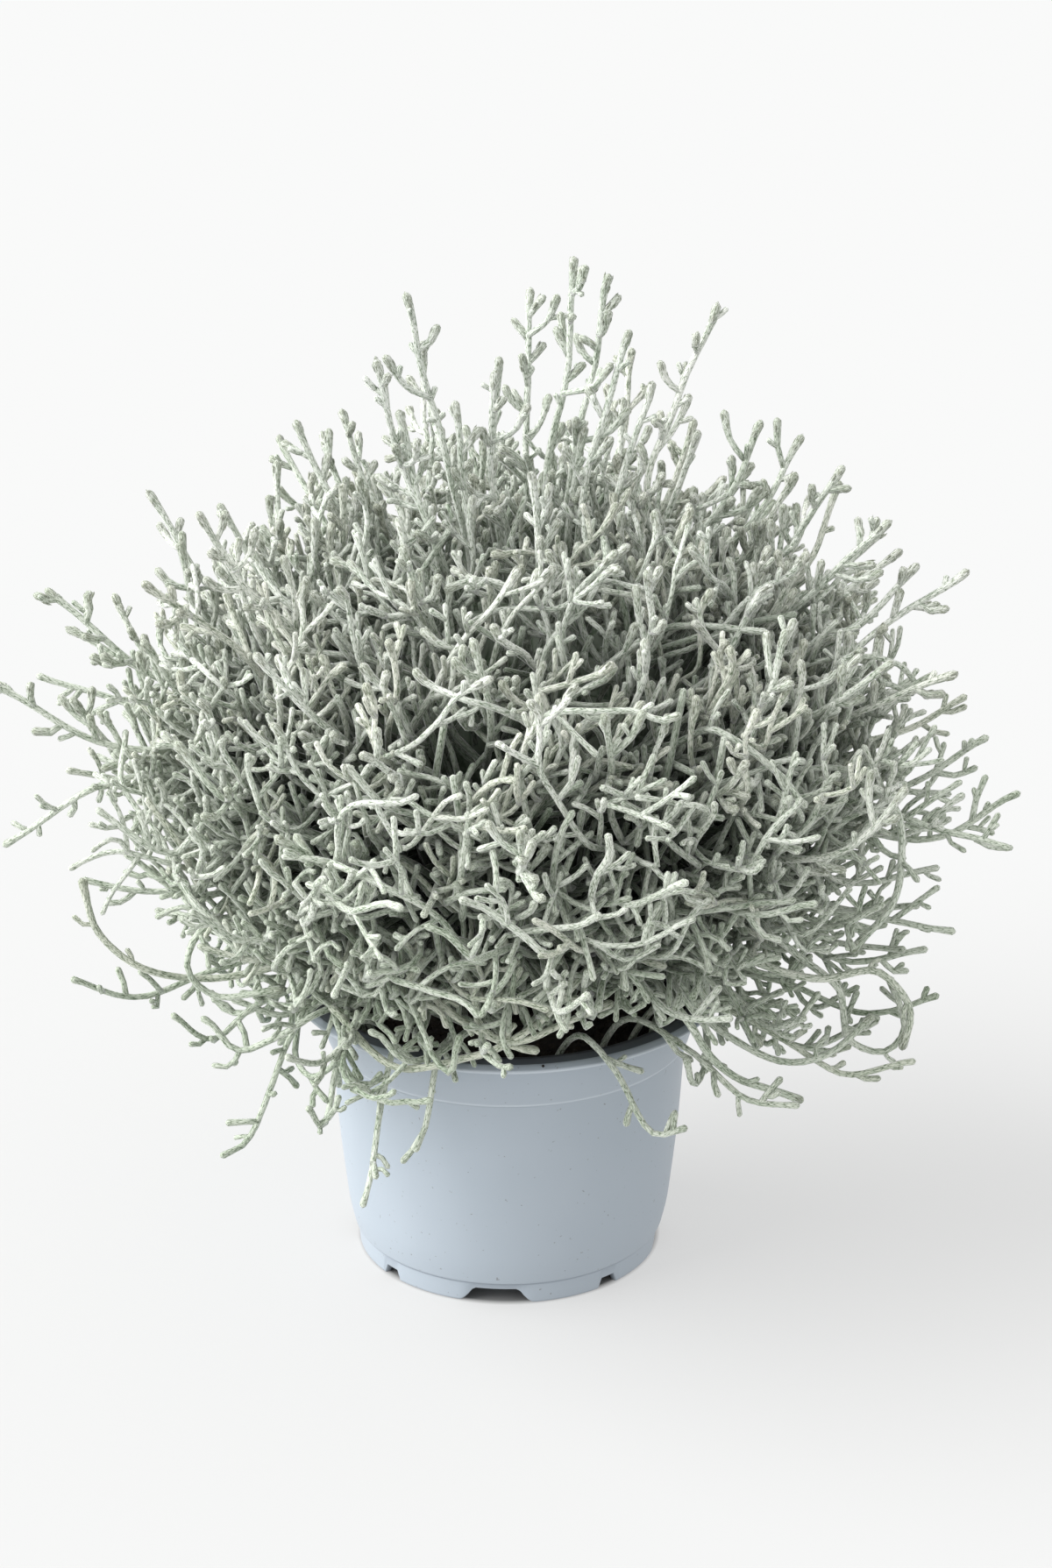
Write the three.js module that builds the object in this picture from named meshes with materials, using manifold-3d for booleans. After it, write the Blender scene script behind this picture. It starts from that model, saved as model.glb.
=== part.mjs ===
// A potted cushion bush: a dense round head of thin, silver, forking stems over a growing pot.
// Millimetres, +Z up. The origin is on the pot's axis, on the surface that the pot stands on.
// The front, where the pot's widest notch is, looks along -Y.

import * as THREE from "three";
import { mergeVertices } from "three/addons/utils/BufferGeometryUtils.js";
import Module from "manifold-3d";

const wasm = await Module();
wasm.setup();

// Pot: outer radii and heights
const POT_HEIGHT = 80.5;
const LIP_RADIUS = 60;
const LIP_EDGE_Z = 78.2;
const LIP_EDGE_HEIGHT = 1.2;
const BAND_TOP = { radius: 53.4, z: 73.9 };
const BAND_FOOT = { radius: 50.5, z: 62.4 };
const CREASE = { radius: 49.2, z: 61.4 };
const WALL_MIDDLE = { radius: 47.6, z: 36 };
const WALL_FOOT = { radius: 45, z: 13 };
const FOOT_TOP = { radius: 43, z: 6.2 };
const FOOT_RADIUS = 42.4;
const POT_WALL = 1.3;
const FOOT_RING_WIDTH = 2.2;
const POT_SIDES = 32;

// Pot: floor, drainage holes and the notches in the foot ring
const FLOOR_UNDERSIDE = 4.8;
const FLOOR_TOP = 6.2;
const DRAIN_HOLES = 5;
const DRAIN_HOLE_RADIUS = 4;
const DRAIN_RING_RADIUS = 27;
const NOTCHES = 8;
const FIRST_NOTCH_AZIMUTH = -94.5;
const WIDE_NOTCH = { bottom: 21, top: 12.5, height: 4.4 };
const NARROW_NOTCH = { bottom: 6, top: 4.5, height: 2.9 };

// Fits and fineness
const SHORTEST_EDGE = 0.02;

// Soil
const GAP = 0.3;
const SOIL_TOP = 68;
const SOIL_LUMP = 1.6;
const SOIL_SIDES = 20;
const HOLE_DEPTH = 12;

// Plant: the dense head is an egg-like round about this centre
const HEAD_CENTRE = new THREE.Vector3(3, 0, 147);
const HEAD_RADII = new THREE.Vector3(108, 106, 82);
const CORE_SHARE = 0.67;
const CORE_ROUGHNESS = 0.09;
const CORE_DETAIL = 5;
const ROOT_DEPTH = 0.82;
const STEM_RADIUS = 1.15;
const TWIG_RADIUS = 0.95;
const TWIG_ROOT_SHARE = 0.5;
const TIP_RADIUS = 1.5;
const SHOOT_STEP = 14;
const TRAIL_STEP = 9;
const TWIG_STEP = 10;
const TWIG_SPACING = 30;
const TIP_LENGTH = 5;
const CLEARANCE = 0.45;

// Plant: the woody stems that carry the head
const TRUNKS = 6;
const TRUNK_RING_RADIUS = 13;
const TRUNK_RADIUS = 2.2;
const TRUNK_RISE = 42;

// Plant: the shoots that a rule spreads evenly over the head
const SPREAD_SHOOTS = 82;
const LOWEST_SHARE = -0.74;
const PLANT_FOOT = new THREE.Vector3(0, 0, 90);
const SEED = 4127;

// Plant: the longest shoots, one by one. Each has its tip, and how far it sags below a straight
// line on its way there.
const LONG_SHOOTS = [
  { tip: [17, -6, 281], sag: -4 },
  { tip: [26, 5, 274], sag: -3 },
  { tip: [6, 32, 264], sag: -2 },
  { tip: [-25, -20, 275], sag: -3 },
  { tip: [-32, -36, 262], sag: 3 },
  { tip: [-3, -12, 253], sag: 4 },
  { tip: [53, -15, 271], sag: 8 },
  { tip: [50, 32, 228], sag: 4 },
  { tip: [67, 20, 231], sag: 5 },
  { tip: [80, 45, 220], sag: 5 },
  { tip: [88, 8, 222], sag: 6 },
  { tip: [99, -8, 212], sag: 6 },
  { tip: [-56, 20, 231], sag: 5 },
  { tip: [-45, 42, 228], sag: 4 },
  { tip: [-95, 12, 214], sag: 8 },
  { tip: [-75, -60, 230], sag: 10 },
  { tip: [-90, -50, 209], sag: 8 },
  { tip: [-120, -10, 194], sag: 12 },
  { tip: [-134, -25, 174], sag: 10 },
  { tip: [-127, 14, 162], sag: 8 },
  { tip: [-131, -35, 133], sag: -14 },
  { tip: [-115, -5, 110], sag: 10 },
  { tip: [-116, 42, 128], sag: 6 },
  { tip: [121, 0, 196], sag: 10 },
  { tip: [116, -24, 176], sag: 6 },
  { tip: [125, 22, 153], sag: 8 },
  { tip: [134, -25, 143], sag: 12 },
  { tip: [130, -40, 134], sag: -8 },
  { tip: [116, -44, 112], sag: 8 },
  { tip: [4, -126, 166], sag: 7 },
  { tip: [4, 126, 158], sag: 8 },
  { tip: [-86, 84, 152], sag: 8 },
  { tip: [88, 82, 146], sag: 8 },
  { tip: [-24, 78, 236], sag: 4 },
  { tip: [34, 62, 240], sag: 4 },
  { tip: [-64, 66, 214], sag: 6 },
  { tip: [-118, 12, 176], sag: 8 },
  { tip: [127, -10, 153], sag: 15 },
  { tip: [112, -20, 96], sag: 12 },
  { tip: [98, -38, 84], sag: 22 },
];

// Plant: the shoots that come over the rim. Each leaves the soil at its azimuth, crosses the rim
// at its crest height, reaches its lowest point at dip and ends at reach and tip, turned by swing.
const TRAILING_SHOOTS = [
  { azimuth: -172, swing: 8, crest: 90, reach: 120, dip: 84, tip: 93 },
  { azimuth: -160, swing: 6, crest: 86, reach: 98, dip: 77, tip: 87 },
  { azimuth: -147, swing: 2, crest: 87, reach: 92, dip: 55, tip: 51 },
  { azimuth: -134, swing: 5, crest: 85, reach: 82, dip: 62, tip: 70 },
  { azimuth: -119, swing: 1, crest: 86, reach: 80, dip: 58, tip: 46 },
  { azimuth: -106, swing: -2, crest: 85, reach: 76, dip: 68, tip: 63 },
  { azimuth: -72, swing: 14, crest: 86, reach: 86, dip: 66, tip: 69 },
  { azimuth: -55, swing: 12, crest: 87, reach: 102, dip: 73, tip: 74 },
  { azimuth: -38, swing: 11, crest: 88, reach: 119, dip: 74, tip: 79 },
  { azimuth: -20, swing: 3, crest: 90, reach: 119, dip: 82, tip: 89 },
  { azimuth: 18, swing: 10, crest: 87, reach: 104, dip: 70, tip: 78 },
  { azimuth: 62, swing: -8, crest: 86, reach: 90, dip: 60, tip: 56 },
  { azimuth: 104, swing: 9, crest: 87, reach: 98, dip: 68, tip: 74 },
  { azimuth: 146, swing: -7, crest: 86, reach: 92, dip: 62, tip: 60 },
];
const TRAIL_ROOT_RADIUS = 40;
const RIM_CROSSING_RADIUS = 56;

const UP = new THREE.Vector3(0, 0, 1);
const GOLDEN_ANGLE = Math.PI * (3 - Math.sqrt(5));

// A facetted tube is drawn a little wider, so that its mean width is that of the round stem
const FACET_ALLOWANCE = { 3: 1.21, 6: 1.05 };

// A small repeatable random source. Each stem has its own, so that no stem changes another.
function makeRandom(seed) {
  let state = (seed * 7919 + 104729) % 2147483647;
  const next = () => {
    state = (state * 48271) % 2147483647;
    return state / 2147483647;
  };
  next();
  next();
  return (low, high) => low + (high - low) * next();
}

function radians(degrees) {
  return (degrees * Math.PI) / 180;
}

function polar(azimuthDegrees, radius, z) {
  const angle = radians(azimuthDegrees);
  return new THREE.Vector3(radius * Math.cos(angle), radius * Math.sin(angle), z);
}

// Low, slow bumps over a place, for the soil and for the inside of the head
function lumps(x, y, z, period) {
  const k = (2 * Math.PI) / period;
  const a = Math.sin(k * x + 1.3 * Math.sin(k * 0.7 * y));
  const b = Math.sin(k * y * 1.1 + 2.1 + Math.sin(k * 0.8 * z));
  const c = Math.sin(k * z * 0.9 + 4.2 + Math.sin(k * 0.9 * x));
  return (a + b + c) / 3;
}

// A sharp up and down from one place of the unit ball to the next, for the tangle inside the head
function ripple(share) {
  const a = Math.sin(share.x * 23.1 + share.y * 17.7 + 3 * share.z);
  const b = Math.sin(share.y * 19.3 - share.z * 27.9 + 1.9);
  const c = Math.sin(share.z * 21.7 - share.x * 15.1 + 5.3);
  return (a + b + c) / 2;
}

// Solids for joining and cutting, and back

function toSolid(geometry) {
  const bare = geometry.index ? geometry.toNonIndexed() : geometry.clone();
  bare.deleteAttribute("normal");
  bare.deleteAttribute("uv");
  const merged = mergeVertices(bare, 1e-4);
  return new wasm.Manifold(
    new wasm.Mesh({
      numProp: 3,
      vertProperties: new Float32Array(merged.attributes.position.array),
      triVerts: new Uint32Array(merged.index.array),
    })
  );
}

// Joins solids into one body, without its shortest edges. A scrap that touches nothing is dropped.
function joined(solids) {
  const bodies = wasm.Manifold.union(solids).simplify(SHORTEST_EDGE).decompose();
  return bodies.reduce((best, body) => (body.volume() > best.volume() ? body : best));
}

function toGeometry(solid) {
  const { vertProperties, triVerts } = solid.getMesh();
  const geometry = new THREE.BufferGeometry();
  geometry.setAttribute("position", new THREE.BufferAttribute(new Float32Array(vertProperties), 3));
  geometry.setIndex(new THREE.BufferAttribute(new Uint32Array(triVerts), 1));
  return geometry;
}

// A closed tube through points, with its own radius at each. It ends in a flat root, sunk in what
// carries it, and in a point.
function tubeGeometry(points, radii, sides) {
  const rings = points.length - 1;
  const positions = [];
  const faces = [];
  let across = new THREE.Vector3(0.36, 0.48, 0.8);
  for (let i = 0; i < rings; i++) {
    const before = points[Math.max(i - 1, 0)];
    const along = points[i + 1].clone().sub(before).normalize();
    across = across.clone().addScaledVector(along, -across.dot(along)).normalize();
    const third = along.clone().cross(across);
    const radius = radii[i] * FACET_ALLOWANCE[sides];
    for (let k = 0; k < sides; k++) {
      const turn = (2 * Math.PI * k) / sides;
      const point = points[i]
        .clone()
        .addScaledVector(across, radius * Math.cos(turn))
        .addScaledVector(third, radius * Math.sin(turn));
      positions.push(point.x, point.y, point.z);
    }
  }
  const root = positions.length / 3;
  positions.push(points[0].x, points[0].y, points[0].z);
  const tip = points[rings];
  positions.push(tip.x, tip.y, tip.z);
  const last = (rings - 1) * sides;
  for (let k = 0; k < sides; k++) {
    const next = (k + 1) % sides;
    faces.push(root, next, k);
    faces.push(last + k, last + next, root + 1);
    for (let i = 0; i < rings - 1; i++) {
      const a = i * sides;
      const b = a + sides;
      faces.push(a + k, a + next, b + next);
      faces.push(a + k, b + next, b + k);
    }
  }
  const geometry = new THREE.BufferGeometry();
  geometry.setAttribute("position", new THREE.BufferAttribute(new Float32Array(positions), 3));
  geometry.setIndex(faces);
  return geometry;
}

// A stem is its middle line, as a curve and as a path of straight steps, and its root's radius
function makeStem(points, rootRadius, stepLength) {
  const curve = new THREE.CatmullRomCurve3(points, false, "catmullrom", 0.5);
  const steps = Math.max(1, Math.round(curve.getLength() / stepLength));
  const path = [];
  for (let i = 0; i <= steps; i++) {
    path.push(curve.getPoint(i / steps));
  }
  return { curve, path, rootRadius, length: curve.getLength() };
}

function onPath(path, t) {
  const place = t * (path.length - 1);
  const step = Math.min(Math.floor(place), path.length - 2);
  return path[step].clone().lerp(path[step + 1], place - step);
}

// The radius narrows towards the tip and swells at the small round bud that ends every stem. The
// root's share is below 1 on a twig, whose root has to stay inside the stem that it grows from.
function stemSolid(stem, sides, rootShare = 1) {
  const points = stem.path.slice(0, -1);
  const tip = stem.path[stem.path.length - 1];
  const radii = points.map((_, i) => stem.rootRadius * (1 - (0.22 * i) / points.length));
  radii[0] *= rootShare;
  const end = tip.clone().sub(points[points.length - 1]);
  const budStart = Math.max(0.35, 1 - (TIP_LENGTH * 0.45) / end.length());
  points.push(points[points.length - 1].clone().addScaledVector(end, budStart));
  radii.push(TIP_RADIUS);
  points.push(tip);
  radii.push(0);
  return toSolid(tubeGeometry(points, radii, sides));
}

// Distance between two straight pieces of stem
function segmentDistance(p1, q1, p2, q2) {
  const d1 = q1.clone().sub(p1);
  const d2 = q2.clone().sub(p2);
  const r = p1.clone().sub(p2);
  const a = d1.dot(d1);
  const e = d2.dot(d2);
  const b = d1.dot(d2);
  const c = d1.dot(r);
  const f = d2.dot(r);
  const slope = a * e - b * b;
  let s = slope > 1e-9 ? THREE.MathUtils.clamp((b * f - c * e) / slope, 0, 1) : 0.5;
  let t = (b * s + f) / e;
  if (t < 0 || t > 1) {
    t = THREE.MathUtils.clamp(t, 0, 1);
    s = THREE.MathUtils.clamp((b * t - c) / a, 0, 1);
  }
  const near1 = p1.clone().addScaledVector(d1, s);
  const near2 = p2.clone().addScaledVector(d2, t);
  return near1.distanceTo(near2);
}

// Whether a path keeps its distance from every path of a list
function clearOf(path, others, distance) {
  for (const other of others) {
    for (let i = 0; i + 1 < path.length; i++) {
      for (let j = 0; j + 1 < other.length; j++) {
        if (segmentDistance(path[i], path[i + 1], other[j], other[j + 1]) < distance) {
          return false;
        }
      }
    }
  }
  return true;
}

// The pot

function potProfile() {
  const inner = (place, lift = 0) => [place.radius - POT_WALL, place.z + lift];
  const outer = (place) => [place.radius, place.z];
  const corners = [
    [0, FLOOR_UNDERSIDE],
    [FOOT_RADIUS - FOOT_RING_WIDTH, FLOOR_UNDERSIDE],
    [FOOT_RADIUS - FOOT_RING_WIDTH, 0],
    [FOOT_RADIUS, 0],
    outer({ radius: FOOT_TOP.radius - 0.5, z: FOOT_TOP.z }),
    outer({ radius: FOOT_TOP.radius + 0.4, z: FOOT_TOP.z + 0.6 }),
    outer(WALL_FOOT),
    outer(WALL_MIDDLE),
    outer(CREASE),
    outer(BAND_FOOT),
    outer(BAND_TOP),
    [BAND_TOP.radius + 1.4, LIP_EDGE_Z - 0.6],
    [LIP_RADIUS, LIP_EDGE_Z],
    [LIP_RADIUS, LIP_EDGE_Z + LIP_EDGE_HEIGHT],
    [LIP_RADIUS - 3, POT_HEIGHT - 0.2],
    [BAND_TOP.radius + 0.2, POT_HEIGHT],
    inner(BAND_TOP, 1),
    inner(BAND_FOOT, 0.6),
    inner(CREASE, 0.2),
    inner(WALL_MIDDLE),
    inner(WALL_FOOT, 0.3),
    [FOOT_TOP.radius - POT_WALL - 2, FLOOR_TOP],
    [0, FLOOR_TOP],
  ];
  return corners.map(([radius, z]) => new THREE.Vector2(radius, z));
}

// A lathe turns round Y, so the turned body is stood up on Z
function turned(profile, sides) {
  const geometry = new THREE.LatheGeometry(profile, sides);
  geometry.rotateX(Math.PI / 2);
  return geometry;
}

function notchCutter({ bottom, top, height }, azimuth) {
  const shape = new THREE.Shape([
    new THREE.Vector2(-bottom / 2, -2),
    new THREE.Vector2(bottom / 2, -2),
    new THREE.Vector2(bottom / 2, 0.4),
    new THREE.Vector2(top / 2, height),
    new THREE.Vector2(-top / 2, height),
    new THREE.Vector2(-bottom / 2, 0.4),
  ]);
  const reach = FOOT_RING_WIDTH + 6;
  const geometry = new THREE.ExtrudeGeometry(shape, { depth: reach, bevelEnabled: false });
  geometry.rotateX(Math.PI / 2);
  geometry.translate(0, -(FOOT_RADIUS - FOOT_RING_WIDTH - 3), 0);
  geometry.rotateZ(radians(azimuth + 90));
  return toSolid(geometry);
}

function drainCutter(azimuth) {
  const geometry = new THREE.CylinderGeometry(DRAIN_HOLE_RADIUS, DRAIN_HOLE_RADIUS, 8, 10);
  geometry.rotateX(Math.PI / 2);
  const place = polar(azimuth, DRAIN_RING_RADIUS, FLOOR_TOP);
  geometry.translate(place.x, place.y, place.z);
  return toSolid(geometry);
}

function makePot() {
  let pot = toSolid(turned(potProfile(), POT_SIDES));
  for (let i = 0; i < NOTCHES; i++) {
    const azimuth = FIRST_NOTCH_AZIMUTH + (360 / NOTCHES) * i;
    pot = pot.subtract(notchCutter(i % 2 === 0 ? WIDE_NOTCH : NARROW_NOTCH, azimuth));
  }
  for (let i = 0; i < DRAIN_HOLES; i++) {
    pot = pot.subtract(drainCutter((360 / DRAIN_HOLES) * i));
  }
  return toGeometry(pot);
}

// The soil, cut round every stem that stands in it

function soilProfile() {
  const clear = POT_WALL + GAP + 0.35;
  const top = CREASE.radius + (BAND_TOP.radius - CREASE.radius) * 0.5 - clear;
  const corners = [
    [0, FLOOR_TOP + GAP],
    [FOOT_TOP.radius - clear - 2.4, FLOOR_TOP + GAP],
    [WALL_FOOT.radius - clear, WALL_FOOT.z + 0.8],
    [WALL_MIDDLE.radius - clear, WALL_MIDDLE.z],
    [CREASE.radius - clear, CREASE.z],
    [top, SOIL_TOP - 1.5],
    [top * 0.78, SOIL_TOP],
    [top * 0.55, SOIL_TOP],
    [top * 0.3, SOIL_TOP],
    [0, SOIL_TOP],
  ];
  return corners.map(([radius, z]) => new THREE.Vector2(radius, z));
}

function makeSoil(standing) {
  const geometry = turned(soilProfile(), SOIL_SIDES);
  const position = geometry.attributes.position;
  for (let i = 0; i < position.count; i++) {
    if (position.getZ(i) > SOIL_TOP - 0.5) {
      const lift = SOIL_LUMP * lumps(position.getX(i), position.getY(i), 0, 31);
      position.setZ(i, position.getZ(i) + lift);
    }
  }
  let soil = toSolid(geometry);
  for (const { points, radius } of standing) {
    const radii = points.map(() => radius + GAP);
    soil = soil.subtract(toSolid(tubeGeometry(points, radii, 6)));
  }
  return toGeometry(soil);
}

// The hole that a stem stands in: a plain straight one along its buried stretch
function holeFor(root, above, radius) {
  const along = above.clone().sub(root).normalize();
  return {
    points: [
      root.clone().addScaledVector(along, -GAP * 2),
      root.clone().addScaledVector(along, (SOIL_TOP + 6 - root.z) / along.z),
      root.clone().addScaledVector(along, (SOIL_TOP + 8 - root.z) / along.z),
    ],
    radius,
  };
}

// The plant

function inHead(share) {
  return HEAD_CENTRE.clone().add(share.clone().multiply(HEAD_RADII));
}

function headShare(point) {
  return point.clone().sub(HEAD_CENTRE).divide(HEAD_RADII);
}

// Side twigs leave a shoot by turns, at wide angles, and bend along it and up to the light
function sideTwigs(shoot, random, longest) {
  const count = Math.round(shoot.length / TWIG_SPACING);
  const twigs = [];
  let turn = random(0, 2 * Math.PI);
  for (let i = 0; i < count; i++) {
    const t = 0.42 + (0.5 * (i + random(0.1, 0.9))) / count;
    const start = onPath(shoot.path, t);
    const along = onPath(shoot.path, Math.min(t + 0.03, 1)).sub(start).normalize();
    turn += GOLDEN_ANGLE + random(-0.5, 0.5);
    const side = new THREE.Vector3(Math.cos(turn), Math.sin(turn), 0.3).cross(along).normalize();
    const spread = radians(random(42, 72));
    const leave = along.clone().multiplyScalar(Math.cos(spread));
    leave.addScaledVector(side, Math.sin(spread));
    const length = longest * random(0.45, 1) * (1.25 - 0.6 * t);
    const middle = start.clone().addScaledVector(leave, length * 0.55);
    const end = middle.clone().addScaledVector(leave, length * 0.3);
    end.addScaledVector(along, length * 0.16).addScaledVector(UP, length * 0.14);
    twigs.push([start, middle, end]);
  }
  return twigs;
}

// A shoot runs from inside the head to its tip through two bends
function shootPoints(root, tip, sag, random) {
  const line = tip.clone().sub(root);
  const length = line.length();
  const sway = new THREE.Vector3(random(-1, 1), random(-1, 1), random(-1, 1));
  const bend = (t, share) =>
    root
      .clone()
      .addScaledVector(line, t)
      .addScaledVector(UP, -sag * share)
      .addScaledVector(sway, 0.05 * length * Math.sin(2 * Math.PI * t + 0.6));
  return [root, bend(0.33, 0.85), bend(0.66, 0.9), tip];
}

function longShoot({ tip, sag }, index) {
  const random = makeRandom(SEED + index);
  const end = new THREE.Vector3(...tip);
  const share = headShare(end).normalize();
  share.z -= 0.12;
  const root = inHead(share.normalize().multiplyScalar(CORE_SHARE * ROOT_DEPTH));
  const shoot = makeStem(shootPoints(root, end, sag, random), STEM_RADIUS, SHOOT_STEP);
  return { shoot, twigs: sideTwigs(shoot, random, 19) };
}

// Corners of a curve that leaves its start and arrives at its end along two vectors
function bent(start, leave, end, arrive) {
  return [0, 0.22, 0.45, 0.7, 1].map((t) => {
    const back = 1 - t;
    return start
      .clone()
      .multiplyScalar(back ** 3 + 3 * t * back * back)
      .addScaledVector(leave, 3 * t * back * back)
      .addScaledVector(end, 3 * t * t * back + t ** 3)
      .addScaledVector(arrive, -3 * t * t * back);
  });
}

// Even places over the head, from its crown down to just over the rim. Each shoot leaves the core
// on a line that comes from the plant's foot, sways across, and turns up to the light at its end.
function spreadShoot(index) {
  const random = makeRandom(SEED + 1000 + index);
  const z = 1 - ((1 - LOWEST_SHARE) * (index + 0.5)) / SPREAD_SHOOTS;
  const azimuth = index * GOLDEN_ANGLE;
  const ring = Math.sqrt(1 - z * z);
  const place = new THREE.Vector3(ring * Math.cos(azimuth), ring * Math.sin(azimuth), z);
  const end = inHead(place.multiplyScalar(random(1, 1.14)));
  const out = end.clone().sub(PLANT_FOOT).normalize();
  const across = new THREE.Vector3(random(-1, 1), random(-1, 1), random(-1, 1));
  across.cross(out).normalize();
  const inside = headShare(PLANT_FOOT.clone().lerp(end, 0.6)).normalize();
  const root = inHead(inside.multiplyScalar(CORE_SHARE * ROOT_DEPTH));
  const pull = end.distanceTo(root) * 0.4;
  const leave = out.clone().addScaledVector(across, random(-0.8, -0.2)).setLength(pull);
  const arrive = out.clone().multiplyScalar(0.6).addScaledVector(across, random(0.1, 0.7));
  arrive.addScaledVector(UP, 0.5 + 0.3 * Math.max(z, 0)).setLength(pull);
  const shoot = makeStem(bent(root, leave, end, arrive), STEM_RADIUS, SHOOT_STEP);
  return { shoot, twigs: sideTwigs(shoot, random, 17) };
}

function trailingShoot({ azimuth, swing, crest, reach, dip, tip }, index) {
  const random = makeRandom(SEED + 2000 + index);
  const out = reach - RIM_CROSSING_RADIUS;
  const points = [
    polar(azimuth, TRAIL_ROOT_RADIUS, SOIL_TOP - HOLE_DEPTH),
    polar(azimuth, TRAIL_ROOT_RADIUS + 4, SOIL_TOP + 7),
    polar(azimuth + swing * 0.15, RIM_CROSSING_RADIUS, crest),
    polar(azimuth + swing * 0.45, RIM_CROSSING_RADIUS + out * 0.4, dip + (crest - dip) * 0.72),
    polar(azimuth + swing * 0.75, RIM_CROSSING_RADIUS + out * 0.72, dip),
    polar(azimuth + swing, reach, tip),
  ];
  const shoot = makeStem(points, STEM_RADIUS, TRAIL_STEP);
  return { shoot, twigs: sideTwigs(shoot, random, 15) };
}

function trunkPoints(index) {
  const azimuth = (360 / TRUNKS) * index + 20;
  return [
    polar(azimuth, TRUNK_RING_RADIUS, SOIL_TOP - HOLE_DEPTH),
    polar(azimuth, TRUNK_RING_RADIUS + 2, SOIL_TOP + 8),
    polar(azimuth + 8, TRUNK_RING_RADIUS + 8, SOIL_TOP + 24),
    polar(azimuth + 12, TRUNK_RING_RADIUS + 18, SOIL_TOP + TRUNK_RISE),
  ];
}

// The inside of the head, where the stems stand too close to tell apart
function coreSolid() {
  const geometry = new THREE.IcosahedronGeometry(1, CORE_DETAIL);
  const position = geometry.attributes.position;
  for (let i = 0; i < position.count; i++) {
    const share = new THREE.Vector3().fromBufferAttribute(position, i);
    const rough = 1 + CORE_ROUGHNESS * ripple(share);
    const place = inHead(share.multiplyScalar(CORE_SHARE * rough));
    position.setXYZ(i, place.x, place.y, place.z);
  }
  return toSolid(geometry);
}

// Nothing of the plant comes nearer to the pot than this: over the rim, or outside of it
function clearOfPot(path) {
  return path.every((point) => {
    const radius = Math.hypot(point.x, point.y);
    return radius > LIP_RADIUS + 2.5 || point.z > POT_HEIGHT + 2.5;
  });
}

function makeTrailing(taken) {
  return TRAILING_SHOOTS.map((places, index) => {
    const { shoot, twigs } = trailingShoot(places, index);
    const parts = [stemSolid(shoot, 3)];
    const paths = [shoot.path];
    for (const points of twigs) {
      const twig = makeStem(points, TWIG_RADIUS, TWIG_STEP);
      if (clearOfPot(twig.path) && clearOf(twig.path, taken, 2 * TIP_RADIUS + CLEARANCE)) {
        parts.push(stemSolid(twig, 3, TWIG_ROOT_SHARE));
        paths.push(twig.path);
      }
    }
    taken.push(...paths);
    return toGeometry(joined(parts));
  });
}

function makeBush(trailingPaths) {
  const parts = [coreSolid()];
  for (let i = 0; i < TRUNKS; i++) {
    const trunk = makeStem(trunkPoints(i), TRUNK_RADIUS, SHOOT_STEP);
    const radii = trunk.path.map((_, k) => TRUNK_RADIUS * (1 - 0.06 * k));
    parts.push(toSolid(tubeGeometry(trunk.path, radii, 6)));
  }
  const taken = [];
  const keepOff = 2 * TIP_RADIUS + CLEARANCE;
  const place = ({ shoot, twigs }, mustFit) => {
    const free = shoot.path.slice(1);
    if (!clearOfPot(free) || !clearOf(free, trailingPaths, keepOff)) {
      return;
    }
    if (mustFit && !clearOf(free, taken, keepOff)) {
      return;
    }
    parts.push(stemSolid(shoot, 3));
    const others = taken.slice();
    taken.push(free);
    for (const points of twigs) {
      const twig = makeStem(points, TWIG_RADIUS, TWIG_STEP);
      const clear = clearOf(twig.path, others, keepOff) && clearOf(twig.path, trailingPaths, keepOff);
      if (clear && clearOfPot(twig.path)) {
        parts.push(stemSolid(twig, 3, TWIG_ROOT_SHARE));
        taken.push(twig.path);
        others.push(twig.path);
      }
    }
  };
  LONG_SHOOTS.forEach((places, index) => place(longShoot(places, index), false));
  for (let i = 0; i < SPREAD_SHOOTS; i++) {
    place(spreadShoot(i), true);
  }
  return toGeometry(joined(parts));
}

// Colours and finishes

const POT_MATERIAL = new THREE.MeshStandardMaterial({ color: 0xb3bcc8, roughness: 0.5 });
const SOIL_MATERIAL = new THREE.MeshStandardMaterial({ color: 0x1d1a17, roughness: 1 });
const STEM_MATERIAL = new THREE.MeshStandardMaterial({ color: 0xb4b9aa, roughness: 0.9 });

const object = new THREE.Group();

function add(name, geometry, material) {
  const mesh = new THREE.Mesh(geometry, material);
  mesh.name = name;
  object.add(mesh);
}

const trailingPaths = [];
const trailing = makeTrailing(trailingPaths);

const standing = [];
for (let i = 0; i < TRUNKS; i++) {
  const [root, above] = trunkPoints(i);
  standing.push(holeFor(root, above, TRUNK_RADIUS * FACET_ALLOWANCE[6]));
}
TRAILING_SHOOTS.forEach((places, index) => {
  const [root, above] = trailingShoot(places, index).shoot.path;
  standing.push(holeFor(root, above, STEM_RADIUS * FACET_ALLOWANCE[3]));
});

add("pot", makePot(), POT_MATERIAL);
add("soil", makeSoil(standing), SOIL_MATERIAL);
add("bush", makeBush(trailingPaths), STEM_MATERIAL);
trailing.forEach((geometry, index) => {
  add(`trailing_shoot_${String(index + 1).padStart(2, "0")}`, geometry, STEM_MATERIAL);
});

export default object;
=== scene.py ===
# A potted cushion bush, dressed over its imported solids.
# The plant's stems follow the same rules and the same random draws as the solids' stems, so each
# solid shoot has its fine shoot in its place. Lengths are in millimetres until a mesh is made.

import math

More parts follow.
